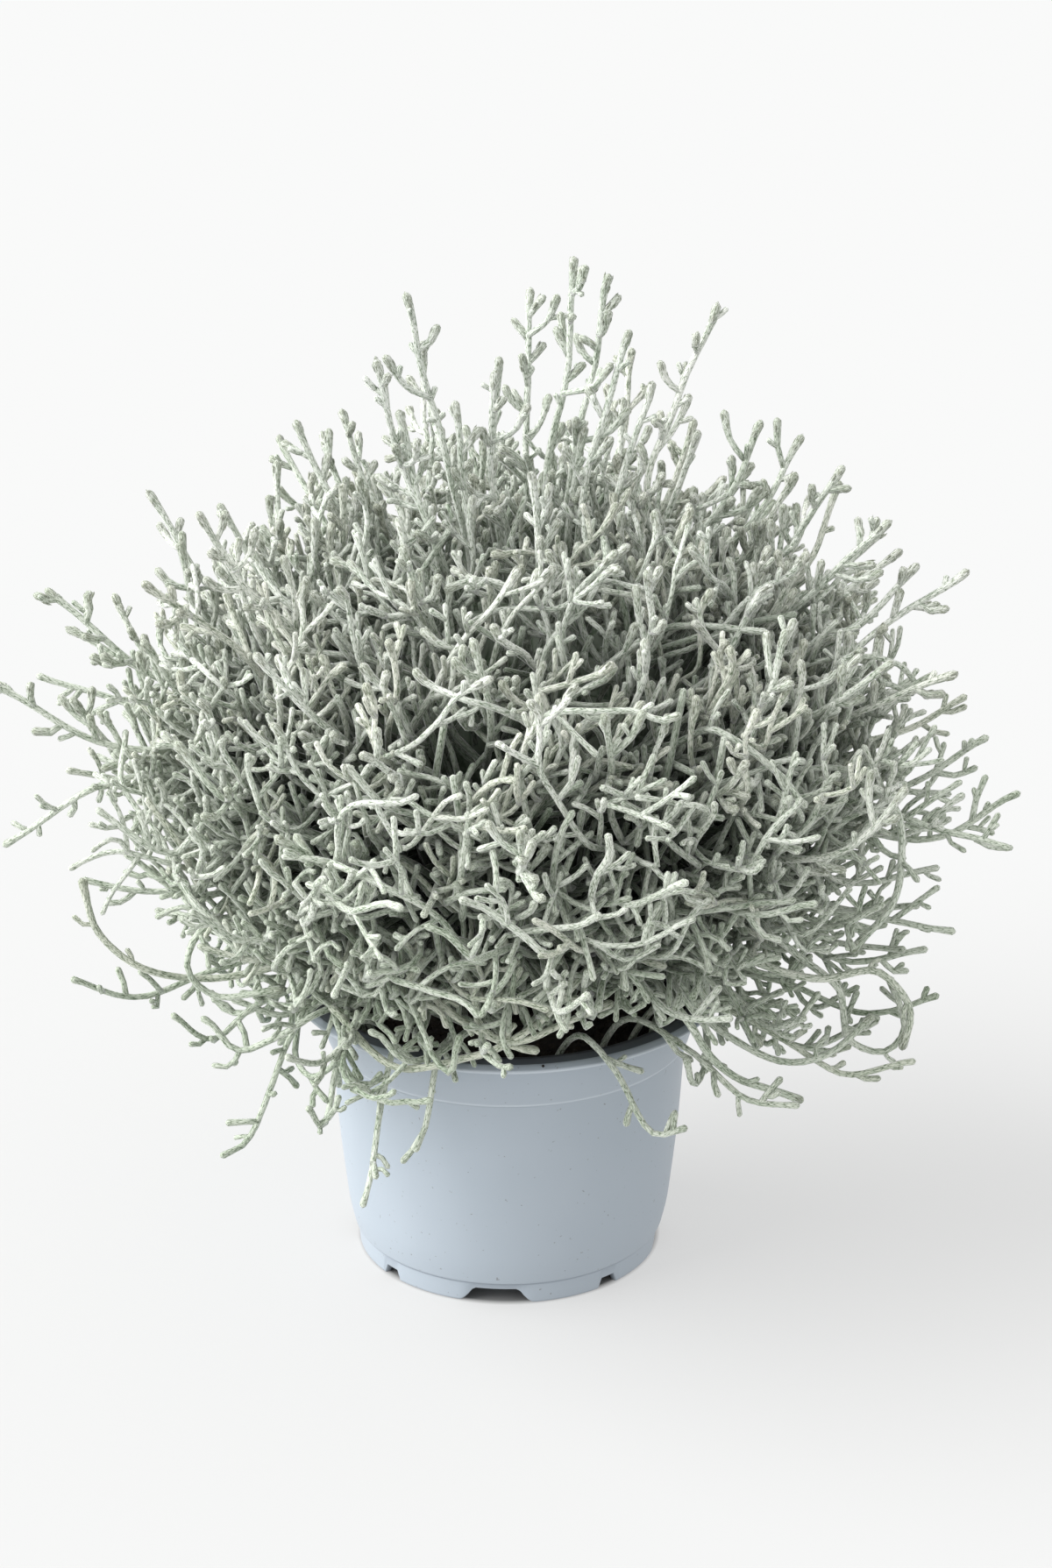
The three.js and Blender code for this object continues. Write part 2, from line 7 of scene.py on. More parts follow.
import bpy
import numpy as np
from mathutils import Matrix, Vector


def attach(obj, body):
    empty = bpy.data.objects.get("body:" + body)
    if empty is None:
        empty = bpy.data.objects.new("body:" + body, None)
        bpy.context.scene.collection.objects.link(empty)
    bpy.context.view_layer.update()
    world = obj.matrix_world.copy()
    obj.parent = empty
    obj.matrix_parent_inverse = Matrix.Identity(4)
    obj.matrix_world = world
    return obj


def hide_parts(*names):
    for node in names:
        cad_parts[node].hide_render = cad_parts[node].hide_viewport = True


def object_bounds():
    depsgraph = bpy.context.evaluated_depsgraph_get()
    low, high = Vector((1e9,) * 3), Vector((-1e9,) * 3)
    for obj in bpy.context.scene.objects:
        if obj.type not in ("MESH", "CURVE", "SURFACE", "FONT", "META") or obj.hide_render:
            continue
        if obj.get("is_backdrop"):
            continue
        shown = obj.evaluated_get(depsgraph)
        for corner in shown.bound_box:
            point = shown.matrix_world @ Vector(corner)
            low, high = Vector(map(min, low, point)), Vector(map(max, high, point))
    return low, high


MM = 0.001

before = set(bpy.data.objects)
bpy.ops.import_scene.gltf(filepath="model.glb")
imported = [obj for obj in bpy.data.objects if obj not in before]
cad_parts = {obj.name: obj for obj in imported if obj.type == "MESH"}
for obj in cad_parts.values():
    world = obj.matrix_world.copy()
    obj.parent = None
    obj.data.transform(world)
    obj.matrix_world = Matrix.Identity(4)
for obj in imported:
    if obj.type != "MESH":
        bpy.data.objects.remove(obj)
cad_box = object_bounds()

# Camera: the photograph's viewpoint, worked out from the ellipses of the pot's lip and foot
PHOTO_LONG_SIDE = 1789
FOCAL_PIXELS = 4000
SENSOR = 36.0
CAMERA_PLACE = (4.9, -884.5, 481.0)
CAMERA_DOWN = 21.3

# Pot, in its own round profile
POT_HEIGHT = 80.5
LIP_RADIUS = 60.0
LIP_EDGE_Z = 78.2
BAND_TOP = (53.4, 73.9)
BAND_FOOT = (50.5, 64.2)
CREASE = (49.2, 63.2)
WALL_MIDDLE = (47.6, 36.0)
WALL_FOOT = (45.0, 13.0)
FOOT_TOP = (43.0, 6.2)
FOOT_RADIUS = 42.4
POT_WALL = 1.3
FOOT_RING_WIDTH = 2.2
FLOOR_UNDERSIDE = 4.8
FLOOR_TOP = 6.2
POT_SIDES = 240
DRAIN_HOLES = 5
DRAIN_HOLE_RADIUS = 4.0
DRAIN_RING_RADIUS = 27.0
NOTCHES = 8
FIRST_NOTCH_AZIMUTH = -94.5
WIDE_NOTCH = (21.0, 12.5, 4.4)
NARROW_NOTCH = (6.0, 4.5, 2.9)

# Soil
SOIL_TOP = 68.0
SOIL_RADIUS = 48.8
SOIL_WALL = [(42.8, 14.0), (45.4, 36.0), (47.0, 61.0)]
SOIL_SIDES = 150
SOIL_WAVES = (31, 17, 9, 5.5, 3.6)
SOIL_CRUMBS = 700
LIP_SPECKS = [(-90.4, 60.0, 78.6), (-80.9, 59.2, 79.9)]

# Plant: the dense head's middle and radii, and the stems' sizes
HEAD_CENTRE = np.array([3.0, 0.0, 147.0])
HEAD_RADII = np.array([108.0, 106.0, 82.0])
CORE_SHARE = 0.67
ROOT_DEPTH = 0.82
STEM_RADIUS = 1.15
TWIG_RADIUS = 0.95
TWIG_SPACING = 30
TRUNKS = 6
TRUNK_RING_RADIUS = 13
TRUNK_RADIUS = 2.2
TRUNK_RISE = 42
SPREAD_SHOOTS = 82
LOWEST_SHARE = -0.74
PLANT_FOOT = np.array([0.0, 0.0, 90.0])
SEED = 4127
HOLE_DEPTH = 12
TRAIL_ROOT_RADIUS = 40
RIM_CROSSING_RADIUS = 56

# Plant: the longest shoots, each with its tip and its sag, as in the solids
LONG_SHOOTS = [
    ((17, -6, 281), -4),
    ((26, 5, 274), -3),
    ((6, 32, 264), -2),
    ((-25, -20, 275), -3),
    ((-32, -36, 262), 3),
    ((-3, -12, 253), 4),
    ((53, -15, 271), 8),
    ((50, 32, 228), 4),
    ((67, 20, 231), 5),
    ((80, 45, 220), 5),
    ((88, 8, 222), 6),
    ((99, -8, 212), 6),
    ((-56, 20, 231), 5),
    ((-45, 42, 228), 4),
    ((-95, 12, 214), 8),
    ((-75, -60, 230), 10),
    ((-90, -50, 209), 8),
    ((-120, -10, 194), 12),
    ((-134, -25, 174), 10),
    ((-127, 14, 162), 8),
    ((-131, -35, 133), -14),
    ((-115, -5, 110), 10),
    ((-116, 42, 128), 6),
    ((121, 0, 196), 10),
    ((116, -24, 176), 6),
    ((125, 22, 153), 8),
    ((134, -25, 143), 12),
    ((130, -40, 134), -8),
    ((116, -44, 112), 8),
    ((4, -126, 166), 7),
    ((4, 126, 158), 8),
    ((-86, 84, 152), 8),
    ((88, 82, 146), 8),
    ((-24, 78, 236), 4),
    ((34, 62, 240), 4),
    ((-64, 66, 214), 6),
    ((-118, 12, 176), 8),
    ((127, -10, 153), 15),
    ((112, -20, 96), 12),
    ((98, -38, 84), 22),
]

# Plant: the shoots that come over the rim: azimuth, swing, crest, reach, dip and tip
TRAILING_SHOOTS = [
    (-172, 8, 90, 120, 84, 93),
    (-160, 6, 86, 98, 77, 87),
    (-147, 2, 87, 92, 55, 51),
    (-134, 5, 85, 82, 62, 70),
    (-119, 1, 86, 80, 58, 46),
    (-106, -2, 85, 76, 68, 63),
    (-72, 14, 86, 86, 66, 69),
    (-55, 12, 87, 102, 73, 74),
    (-38, 11, 88, 119, 74, 79),
    (-20, 3, 90, 119, 82, 89),
    (18, 10, 87, 104, 70, 78),
    (62, -8, 86, 90, 60, 56),
    (104, 9, 87, 98, 68, 74),
    (146, -7, 86, 92, 62, 60),
]

# Plant: the tips of slim shoots that are only in the finish
SLIM_SHOOTS = [
    (-27, -25, 246),
    (-13, -20, 247),
    (-2, -10, 256),
    (31, -10, 263),
    (37, -12, 250),
    (50, 10, 231),
    (76, 12, 219),
    (88, 14, 216),
    (-77, 20, 208),
    (-50, 34, 224),
    (98, 0, 207),
    (108, 2, 197),
    (113, -30, 124),
    (108, -32, 114),
    (106, -22, 97),
    (-116, -18, 147),
]

# Plant: bowed stems along the pot's rim and at the head's lower sides, from root to tip
BOWS = [
    [(-18, -66, 124), (-9, -78, 113), (-7, -75, 99), (3, -73, 94), (15, -72, 99), (26, -70, 103)],
    [(-46, -52, 94), (-29, -65, 83), (-9, -70, 88), (5, -73, 97), (14, -76, 107), (21, -79, 117)],
    [(-32, -64, 118), (-17, -72, 104), (-3, -72, 94), (7, -70, 90)],
    [(68, -45, 112), (86, -45, 97), (91, -40, 79), (100, -38, 74), (106, -36, 81), (102, -34, 93)],
    [(58, -48, 108), (80, -50, 101), (97, -45, 101), (106, -42, 90), (105, -42, 78)],
    [(-60, -28, 95), (-79, -30, 92), (-96, -35, 97), (-108, -38, 109), (-111, -40, 124)],
    [(-54, -36, 112), (-76, -44, 115), (-84, -46, 103), (-76, -46, 94), (-60, -46, 96)],
    [(36, -50, 104), (46, -62, 96), (52, -62, 85), (63, -58, 75), (77, -52, 67)],
    [(84, -36, 156), (98, -40, 148), (103, -42, 134), (100, -42, 118), (91, -42, 106)],
    [(48, -46, 92), (66, -52, 80), (82, -50, 78), (96, -42, 86)],
]
BOW_RADIUS = 1.08

# Plant: what is added between them
FILL_SHOOTS = 1110
STRAY_SHARE = 0.32
INNER_SHOOTS = 640
SKIRT_SHOOTS = 44
SKIRT_FROM = -48
SKIRT_SPAN = 302
FRONT_GAP = (-2, 42, -38, 93)
FILL_SWAY = 1.3
CROWN_FROM = 0.4
THIN_BELOW = -0.36
LOW_PULL = 0.13
WOOLLY_EVERY = 9
WOOLLY_BOWS = 3
CLUBS_ABOVE = 180
SHOOT_RADIUS = 1.0
TRAIL_RADIUS = 0.95
RING_STEP = 3.2
INNER_RING_STEP = 6.0
BUD_RADIUS = 1.22
BUD_FADE = 6
CLUB_SWELL = 6.5
TIP_SWELL = 2.6
LEAF_LENGTH = 3.0
LEAF_WIDTH = (0.55, 0.75)
RELIEF = 0.035
CORE_REACH = 0.5
DEEPEST_SHARE = 0.5
BUSH_PIECES = 6

# Where the random draws start: of the middle lines that the solids have, and of each kind's growth
SPREAD_LINE_SEED = SEED + 1000
TRAIL_LINE_SEED = SEED + 2000
LONG_SEED = SEED + 3000
SPREAD_SEED = SEED + 4000
FILL_SEED = SEED + 5000
TRAIL_SEED = SEED + 6000
SKIRT_SEED = SEED + 7000
INNER_SEED = SEED + 9000
SLIM_SEED = SEED + 10000
BOW_SEED = SEED + 11000
SOIL_SEED = SEED + 70
CRUMB_SEED = SEED + 8000

# Colours of the stems: under white wool, in the greener patches, on the buds, and the painted shade
# deep inside the head
WOOL_TOP = (0.88, 0.89, 0.85)
WOOL_MIDDLE = (0.775, 0.80, 0.74)
WOOL_FURROW = (0.20, 0.25, 0.17)
GREEN_TOP = (0.72, 0.76, 0.68)
GREEN_MIDDLE = (0.45, 0.50, 0.42)
GREEN_FURROW = (0.10, 0.14, 0.085)
BUD_OLIVE = (0.22, 0.235, 0.175)
DEPTH_SHADE_GREEN = (0.05, 0.07, 0.045)

# What a stem's colour is multiplied by: for its own tone, and for its height in metres, a painted
# shade that is darker and a little greener low in the head
STEM_TONES = [
    (0.0, (0.69, 0.735, 0.67)),
    (0.35, (0.875, 0.90, 0.86)),
    (0.8, (0.985, 0.985, 0.985)),
    (1.0, (0.97, 0.955, 0.915)),
]
HEIGHT_SHADE = [
    (0.075, (0.80, 0.83, 0.78)),
    (0.15, (0.95, 0.96, 0.94)),
    (0.19, (1.0, 1.0, 1.0)),
    (0.25, (0.985, 0.99, 1.0)),
]

# Colours of the pot and the soil
POT_BLUE = (0.368, 0.42, 0.472)
POT_BLUE_WORN = (0.42, 0.465, 0.515)
POT_SLATE = (0.045, 0.048, 0.058)
POT_EDGE_HIGHLIGHT = (0.52, 0.57, 0.62)
POT_SEAM_SHADE = (0.24, 0.28, 0.33)
DUST = (0.12, 0.10, 0.08)
PEAT = [(0.3, (0.008, 0.006, 0.005)), (0.55, (0.03, 0.022, 0.016)), (0.75, (0.09, 0.065, 0.045))]

# Floor and light. The floor glows: painted light that lifts the shadows on it and lights the plant
# from below. The glow starts under the foot ring and is full beside it, in metres, so the unlit disc
# under the pot is a painted contact shadow.
FLOOR_REACH = 8
FLOOR_COLOR = (0.23, 0.232, 0.23)
FLOOR_GLOW = 0.527
GLOW_FROM = (0.0405, 0.043)
SKY_STRENGTH = 0.96
SUN_STRENGTH = 4.65
SUN_SPREAD = 60
SUN_FROM = (-1.15, -0.15, 0.85)

UP = np.array([0.0, 0.0, 1.0])
FULL_TURN = 2 * math.pi
ANY_TURN = (0, 6.28)
GOLDEN_ANGLE = math.pi * (3 - math.sqrt(5))


# Random draws, places and curves

def make_random(seed):
    state = (seed * 7919 + 104729) % 2147483647

    def draw(low, high):
        nonlocal state
        state = (state * 48271) % 2147483647
        return low + (high - low) * (state / 2147483647)

    draw(0, 1)
    draw(0, 1)
    return draw


def polar(azimuth, radius, z):
    angle = math.radians(azimuth)
    return np.array([radius * math.cos(angle), radius * math.sin(angle), z])


def unit(vector):
    return vector / np.linalg.norm(vector)


def clamp(value):
    return float(np.clip(value, 0, 1))


def any_vector(random, most=1):
    return np.array([random(-most, most) for _ in range(3)])


def in_head(share):
    return HEAD_CENTRE + np.asarray(share) * HEAD_RADII


def head_share(point):
    return (np.asarray(point) - HEAD_CENTRE) / HEAD_RADII


def smooth_curve(corners, t):
    """Places at t, from 0 to 1, on a smooth curve through the corners."""
    corners = np.asarray(corners, float)
    before = 2 * corners[0] - corners[1]
    after = 2 * corners[-1] - corners[-2]
    padded = np.vstack([before, corners, after])
    place = np.asarray(t, float) * (len(corners) - 1)
    step = np.minimum(place.astype(int), len(corners) - 2)
    w = (place - step)[:, None]
    p0 = padded[step]
    p1 = padded[step + 1]
    p2 = padded[step + 2]
    p3 = padded[step + 3]
    linear = (p2 - p0) * w
    square = (2 * p0 - 5 * p1 + 4 * p2 - p3) * w**2
    cube = (3 * p1 - p0 - 3 * p2 + p3) * w**3
    return 0.5 * (2 * p1 + linear + square + cube)


def curve_length(corners):
    points = smooth_curve(corners, np.linspace(0, 1, 33))
    return float(np.linalg.norm(np.diff(points, axis=0), axis=1).sum())


def evenly(corners, spacing):
    """Points about spacing apart along the curve through the corners."""
    fine = smooth_curve(corners, np.linspace(0, 1, 60))
    steps = np.linalg.norm(np.diff(fine, axis=0), axis=1)
    along = np.concatenate([[0], np.cumsum(steps)])
    count = max(3, int(round(along[-1] / spacing)) + 1)
    wanted = np.linspace(0, along[-1], count)
    return np.stack([np.interp(wanted, along, fine[:, k]) for k in range(3)], 1)


# Meshes

def ring_faces(rings, sides):
    """Faces between rings of points, and the two fans to the two end points after them."""
    corner = np.arange(sides)
    after = (corner + 1) % sides
    start = np.arange(rings - 1)[:, None] * sides
    here = start + corner
    beside = start + after
    quads = np.stack([here, beside, beside + sides, here + sides], -1)
    first = rings * sides
    last = (rings - 1) * sides
    root_fan = np.stack([np.full(sides, first), after, corner], -1)
    tip_fan = np.stack([np.full(sides, first + 1), last + corner, last + after], -1)
    return quads.reshape(-1, 4), np.vstack([root_fan, tip_fan])


def add_object(name, data, material=None):
    piece = bpy.data.objects.new(name, data)
    bpy.context.scene.collection.objects.link(piece)
    if material:
        data.materials.append(material)
    return piece


class Weave:
    """Gathers stems, buds and crumbs, and makes one mesh of them."""

    def __init__(self):
        self.points = []
        self.quads = []
        self.triangles = []
        self.bark = []
        self.look = []
        self.count = 0

    def add(self, points, quads, triangles, bark, look):
        self.points.append(points)
        if len(quads):
            self.quads.append(quads + self.count)
        if len(triangles):
            self.triangles.append(triangles + self.count)
        self.bark.append(bark)
        self.look.append(look)
        self.count += len(points)

    def tube(self, path, radii, sides, relief, tone, start, bud=0.0):
        """A closed tube along a path. Relief raises every second corner, as pressed leaves do."""
        rings = len(path)
        along = np.gradient(path, axis=0)
        along /= np.linalg.norm(along, axis=1)[:, None]
        reference = np.cross(along[0], along[-1])
        if np.linalg.norm(reference) < 0.2:
            mean = unit(along.sum(axis=0))
            axis = np.eye(3)[int(np.abs(mean).argmin())]
            reference = np.cross(mean, axis)
        reference = unit(reference)
        across = reference - along * (along @ reference)[:, None]
        across /= np.linalg.norm(across, axis=1)[:, None]
        third = np.cross(along, across)
        turn = FULL_TURN * np.arange(sides) / sides
        raised = 1 + relief * np.where((np.arange(rings)[:, None] + np.arange(sides)) % 2, 1, -1)
        reach = radii[:, None] * raised
        cosine = np.cos(turn)
        sine = np.sin(turn)
        ring = across[:, None] * (reach * cosine)[..., None]
        ring = ring + third[:, None] * (reach * sine)[..., None]
        points = (path[:, None] + ring).reshape(-1, 3)
        distance = np.concatenate([[0], np.cumsum(np.linalg.norm(np.diff(path, axis=0), axis=1))])
        bark = np.empty((rings, sides, 3))
        bark[..., 0] = cosine * radii[:, None]
        bark[..., 1] = sine * radii[:, None]
        bark[..., 2] = (distance + start)[:, None]
        ends = np.stack([path[0], path[-1] + along[-1] * radii[-1] * 0.6])
        points = np.vstack([points, ends])
        end_bark = np.array([[0, 0, start], [0, 0, start + distance[-1]]])
        bark = np.vstack([bark.reshape(-1, 3), end_bark])
        quads, triangles = ring_faces(rings, sides)
        to_tip = distance[-1] - distance
        buds = bud * np.clip(1 - to_tip / BUD_FADE, 0, 1)
        look = self.look_of(points, tone, np.append(np.repeat(buds, sides), [0, bud]))
        self.add(points, quads, triangles, bark, look)

    def look_of(self, points, tone, bud):
        """For the material: how deep in the head a point lies, which sets its painted shade, its
        stem's tone, and if it's a bud.
        """
        depth = 1 - np.linalg.norm((points - HEAD_CENTRE) / HEAD_RADII, axis=1)
        look = np.empty((len(points), 3))
        look[:, 0] = np.clip(depth / DEEPEST_SHARE, 0, 1)
        look[:, 1] = tone
        look[:, 2] = bud
        return look

    def leaf(self, base, direction, outward, length, width, tone):
        """A small pointed scale leaf, thick in the middle."""
        side = np.cross(direction, outward)
        side /= np.linalg.norm(side) + 1e-9
        face = np.cross(side, direction)
        low = base + direction * length * 0.3
        high = base + direction * length * 0.78
        points = [base]
        for place, share in ((low, 1.0), (high, 0.8)):
            points.append(place + side * width * share)
            points.append(place + face * width * 0.62 * share)
            points.append(place - side * width * share)
            points.append(place - face * width * 0.35 * share)
        points.append(base + direction * length)
        points = np.array(points)
        k = np.arange(4)
        n = (k + 1) % 4
        quads = np.stack([1 + k, 1 + n, 5 + n, 5 + k], -1)
        root_faces = np.stack([np.zeros(4, int), 1 + n, 1 + k], -1)
        tip_faces = np.stack([np.full(4, 9), 5 + k, 5 + n], -1)
        triangles = np.vstack([root_faces, tip_faces])
        bark = (points - base) @ np.stack([side, face, direction], 1)
        self.add(points, quads, triangles, bark, self.look_of(points, tone, 1.0))

    def build(self, name, material, smooth=True):
        points = np.vstack(self.points) * MM
        quads = np.vstack(self.quads) if self.quads else np.zeros((0, 4), int)
        triangles = np.vstack(self.triangles) if self.triangles else np.zeros((0, 3), int)
        mesh = bpy.data.meshes.new(name)
        mesh.vertices.add(len(points))
        mesh.vertices.foreach_set("co", points.ravel())
        corners = np.concatenate([quads.ravel(), triangles.ravel()])
        mesh.loops.add(len(corners))
        mesh.loops.foreach_set("vertex_index", corners)
        quad_starts = np.arange(len(quads)) * 4
        triangle_starts = len(quads) * 4 + np.arange(len(triangles)) * 3
        mesh.polygons.add(len(quads) + len(triangles))
        mesh.polygons.foreach_set("loop_start", np.concatenate([quad_starts, triangle_starts]))
        mesh.update(calc_edges=True)
        for title, values in (("bark", self.bark), ("look", self.look)):
            attribute = mesh.attributes.new(title, "FLOAT_VECTOR", "POINT")
            attribute.data.foreach_set("vector", np.vstack(values).ravel())
        if smooth:
            mesh.shade_smooth()
        return add_object(name, mesh, material)


# The plant's middle lines, by the solids' own rules

def sideways(turn, along):
    """Where a side twig turns to, square to its stem."""
    return unit(np.cross([math.cos(turn), math.sin(turn), 0.3], along))


def spiral_place(index, count, lowest, start):
    """One of the even places over a ball, from its top down to a lowest share of its radius."""
    z = 1 - (1 - lowest) * (index + 0.5) / count
    azimuth = index * GOLDEN_ANGLE + start
    ring = math.sqrt(max(0.0, 1 - z * z))
    return np.array([ring * math.cos(azimuth), ring * math.sin(azimuth), z])


def side_twigs(corners, random, longest):
    """Twigs leave a shoot by turns, at wide angles, and bend along it and up to the light."""
    count = int(math.floor(curve_length(corners) / TWIG_SPACING + 0.5))
    twigs = []
    turn = random(0, FULL_TURN)
    for i in range(count):
        t = 0.42 + 0.5 * (i + random(0.1, 0.9)) / count
        start, ahead = smooth_curve(corners, [t, min(t + 0.03, 1)])
        along = unit(ahead - start)
        turn += GOLDEN_ANGLE + random(-0.5, 0.5)
        side = sideways(turn, along)
        spread = math.radians(random(42, 72))
        leave = along * math.cos(spread) + side * math.sin(spread)
        length = longest * random(0.45, 1) * (1.25 - 0.6 * t)
        middle = start + leave * length * 0.55
        end = middle + leave * length * 0.3 + along * length * 0.16 + UP * length * 0.14
        twigs.append([start, middle, end])
    return twigs


def long_shoot(places, index):
    tip, sag = places
    random = make_random(SEED + index)
    end = np.array(tip, float)
    share = unit(head_share(end))
    share[2] -= 0.12
    root = in_head(unit(share) * CORE_SHARE * ROOT_DEPTH)
    line = end - root
    sway = any_vector(random) * (0.05 * np.linalg.norm(line))
    corners = [root]
    for t, part in ((0.33, 0.85), (0.66, 0.9)):
        bend = root + line * t - UP * sag * part
        corners.append(bend + sway * math.sin(FULL_TURN * t + 0.6))
    corners.append(end)
    return corners, side_twigs(corners, random, 19)


def bent(start, leave, end, arrive):
    """Corners of a curve that leaves its start and arrives at its end along two vectors."""
    corners = []
    for t in (0, 0.22, 0.45, 0.7, 1):
        first = start * (1 - t) ** 3 + (start + leave) * 3 * t * (1 - t) ** 2
        second = (end - arrive) * 3 * t * t * (1 - t) + end * t**3
        corners.append(first + second)
    return corners


def spread_shoot(index):
    random = make_random(SPREAD_LINE_SEED + index)
    place = spiral_place(index, SPREAD_SHOOTS, LOWEST_SHARE, 0)
    end = in_head(place * random(1, 1.14))
    out = unit(end - PLANT_FOOT)
    across = unit(np.cross(any_vector(random), out))
    inside = unit(head_share(PLANT_FOOT + (end - PLANT_FOOT) * 0.6))
    root = in_head(inside * CORE_SHARE * ROOT_DEPTH)
    pull = np.linalg.norm(end - root) * 0.4
    leave = unit(out + across * random(-0.8, -0.2)) * pull
    arrive = out * 0.6 + across * random(0.1, 0.7)
    arrive = unit(arrive + UP * (0.5 + 0.3 * max(place[2], 0))) * pull
    corners = bent(root, leave, end, arrive)
    return corners, side_twigs(corners, random, 17)


def trailing_shoot(places, index):
    azimuth, swing, crest, reach, dip, tip = places
    random = make_random(TRAIL_LINE_SEED + index)
    out = reach - RIM_CROSSING_RADIUS
    shoulder = dip + (crest - dip) * 0.72
    corners = [
        polar(azimuth, TRAIL_ROOT_RADIUS, SOIL_TOP - HOLE_DEPTH),
        polar(azimuth, TRAIL_ROOT_RADIUS + 4, SOIL_TOP + 7),
        polar(azimuth + swing * 0.15, RIM_CROSSING_RADIUS, crest),
        polar(azimuth + swing * 0.45, RIM_CROSSING_RADIUS + out * 0.4, shoulder),
        polar(azimuth + swing * 0.75, RIM_CROSSING_RADIUS + out * 0.72, dip),
        polar(azimuth + swing, reach, tip),
    ]
    return corners, side_twigs(corners, random, 15)


def trunk(index):
    azimuth = 360 / TRUNKS * index + 20
    return [
        polar(azimuth, TRUNK_RING_RADIUS, SOIL_TOP - HOLE_DEPTH),
        polar(azimuth, TRUNK_RING_RADIUS + 2, SOIL_TOP + 8),
        polar(azimuth + 8, TRUNK_RING_RADIUS + 8, SOIL_TOP + 24),
        polar(azimuth + 12, TRUNK_RING_RADIUS + 18, SOIL_TOP + TRUNK_RISE),
    ]


# The plant's fine growth

def clear_of_pot(path):
    """Over the rim or outside of it, and not in the gap where the soil shows at the front."""
    radius = np.hypot(path[:, 0], path[:, 1])
    clear = (radius > LIP_RADIUS + 1.6) | (path[:, 2] > POT_HEIGHT + 1.6)
    left, right, front, top = FRONT_GAP
    gap = (path[:, 0] > left) & (path[:, 0] < right) & (path[:, 1] < front) & (path[:, 2] < top)
    return bool(np.all(clear & ~gap))


def swayed(path, random, most):
    """Wide bends and small ones from joint to joint, none at the root."""
    steps = np.arange(len(path)) * RING_STEP
    side = unit(any_vector(random))
    other = unit(np.cross(side, path[-1] - path[0]) + 1e-6)
    ease = np.clip(steps / 6, 0, 1) * np.clip((steps[-1] - steps) / 4, 0, 1)
    first = np.sin(steps * FULL_TURN / random(24, 40) + random(0, 6))
    second = np.sin(steps * FULL_TURN / random(26, 46) + random(0, 6))
    small = 0.12 * np.sin(steps * FULL_TURN / random(10, 15) + random(0, 6))
    bend = side * (first + small)[:, None] + other * (second - small)[:, None]
    return path + most * bend * ease[:, None]


def round_end(path, radii):
    """The path and its radii, with two rings more that round off the tip."""
    along = unit(path[-1] - path[-2])
    radius = radii[-1]
    more = [path[-1] + along * radius * 0.55, path[-1] + along * radius * 0.95]
    return np.vstack([path, more]), np.append(radii, [radius * 0.9, radius * 0.55])


def add_club(weave, tip, along, random, tone, leaves):
    """Scale leaves pressed together round the end of a shoot."""
    side = unit(np.cross(along, [0.3, 0.5, 0.81]))
    other = np.cross(along, side)
    turn = random(*ANY_TURN)
    for i in range(leaves):
        turn += 2.4
        out = side * math.cos(turn) + other * math.sin(turn)
        base = tip - along * (4.2 - 3.4 * i / leaves) + out * 0.75
        direction = unit(along + out * random(0.02, 0.2))
        length = LEAF_LENGTH * random(0.8, 1.15)
        weave.leaf(base, direction, out, length, random(*LEAF_WIDTH), tone)


def grow(weave, corners, random, radius, sides, tone, club=0, sway=0.3):
    """One stem with a rounded tip, or with a club of scale leaves. Gives back its middle line."""
    path = evenly(corners, RING_STEP)
    if len(path) > 5:
        path = swayed(path, random, sway)
    radii = radius * (1 - 0.14 * np.linspace(0, 1, len(path)))
    left = (len(path) - 1 - np.arange(len(path))) * RING_STEP
    bud = BUD_RADIUS if club else radius * random(1.0, 1.12)
    swell = CLUB_SWELL if club else TIP_SWELL
    radii += (bud - radii) * np.clip(1 - left / swell, 0, 1) ** 0.7
    tube_path, tube_radii = round_end(path, radii)
    weave.tube(tube_path, tube_radii, sides, RELIEF, tone, random(0, 400), 1.0 if club else 0.3)
    if club:
        add_club(weave, path[-1], unit(path[-1] - path[-2]), random, tone, club)
    return path


def upright_share(point, along):
    """Near 1 for stems that stand up in the upper head, where twigs keep close to the stem."""
    return clamp(0.6 * along[2] + 0.7 * head_share(point)[2])


def side_stem(path, place, turn, random, length):
    """The corners of a side twig: it leaves wide, then bends along its stem and to the light."""
    start = path[place]
    along = unit(path[min(place + 1, len(path) - 1)] - path[place - 1])
    upright = upright_share(start, along)
    side = sideways(turn, along)
    spread = math.radians(random(52, 80) - 22 * upright)
    leave = along * math.cos(spread) + side * math.sin(spread)
    lift = random(-0.6, 0.9) * (1 - 0.5 * upright) + 0.15 * upright
    follow = unit(along * random(0.2, 1.0 + 0.3 * upright) + side * (0.4 + 0.4 * upright) + UP * lift)
    end = start + (leave * 0.54 + follow * 0.46) * length
    return bent(start, leave * length * 0.52, end, follow * length * 0.45)


def grow_nub(weave, path, place, turn, random, tone):
    """A short blunt side bud."""
    corners = side_stem(path, place, turn, random, random(2.6, 4.6))
    radius = random(0.66, 0.88)
    line = np.array([corners[0], corners[2], corners[4]])
    line, radii = round_end(line, np.array([0.9, 0.95, 1.05]) * radius)
    weave.tube(line[:-1], radii[:-1], 5, 0.02, tone, random(0, 400))


def grow_twig(weave, path, place, turn, random, tone, length, club, forks):
    """A side twig, and the smaller ones that it forks into."""
    corners = side_stem(path, place, turn, random, length)
    if not clear_of_pot(np.array(corners)):
        return
    radius = TWIG_RADIUS * random(0.74, 0.92)
    twig = grow(weave, corners, random, radius, 5, tone, club, 0.35)
    for i in range(forks):
        middle = int(len(twig) * random(0.35, 0.75))
        if 0 < middle < len(twig) - 1:
            side = turn + 1.9 * (i + 1)
            if length > 12 and random(0, 1) < 0.75:
                shorter = length * random(0.42, 0.68)
                grow_twig(weave, twig, middle, side, random, tone, shorter, club, 0)
            else:
                grow_nub(weave, twig, middle, side, random, tone)


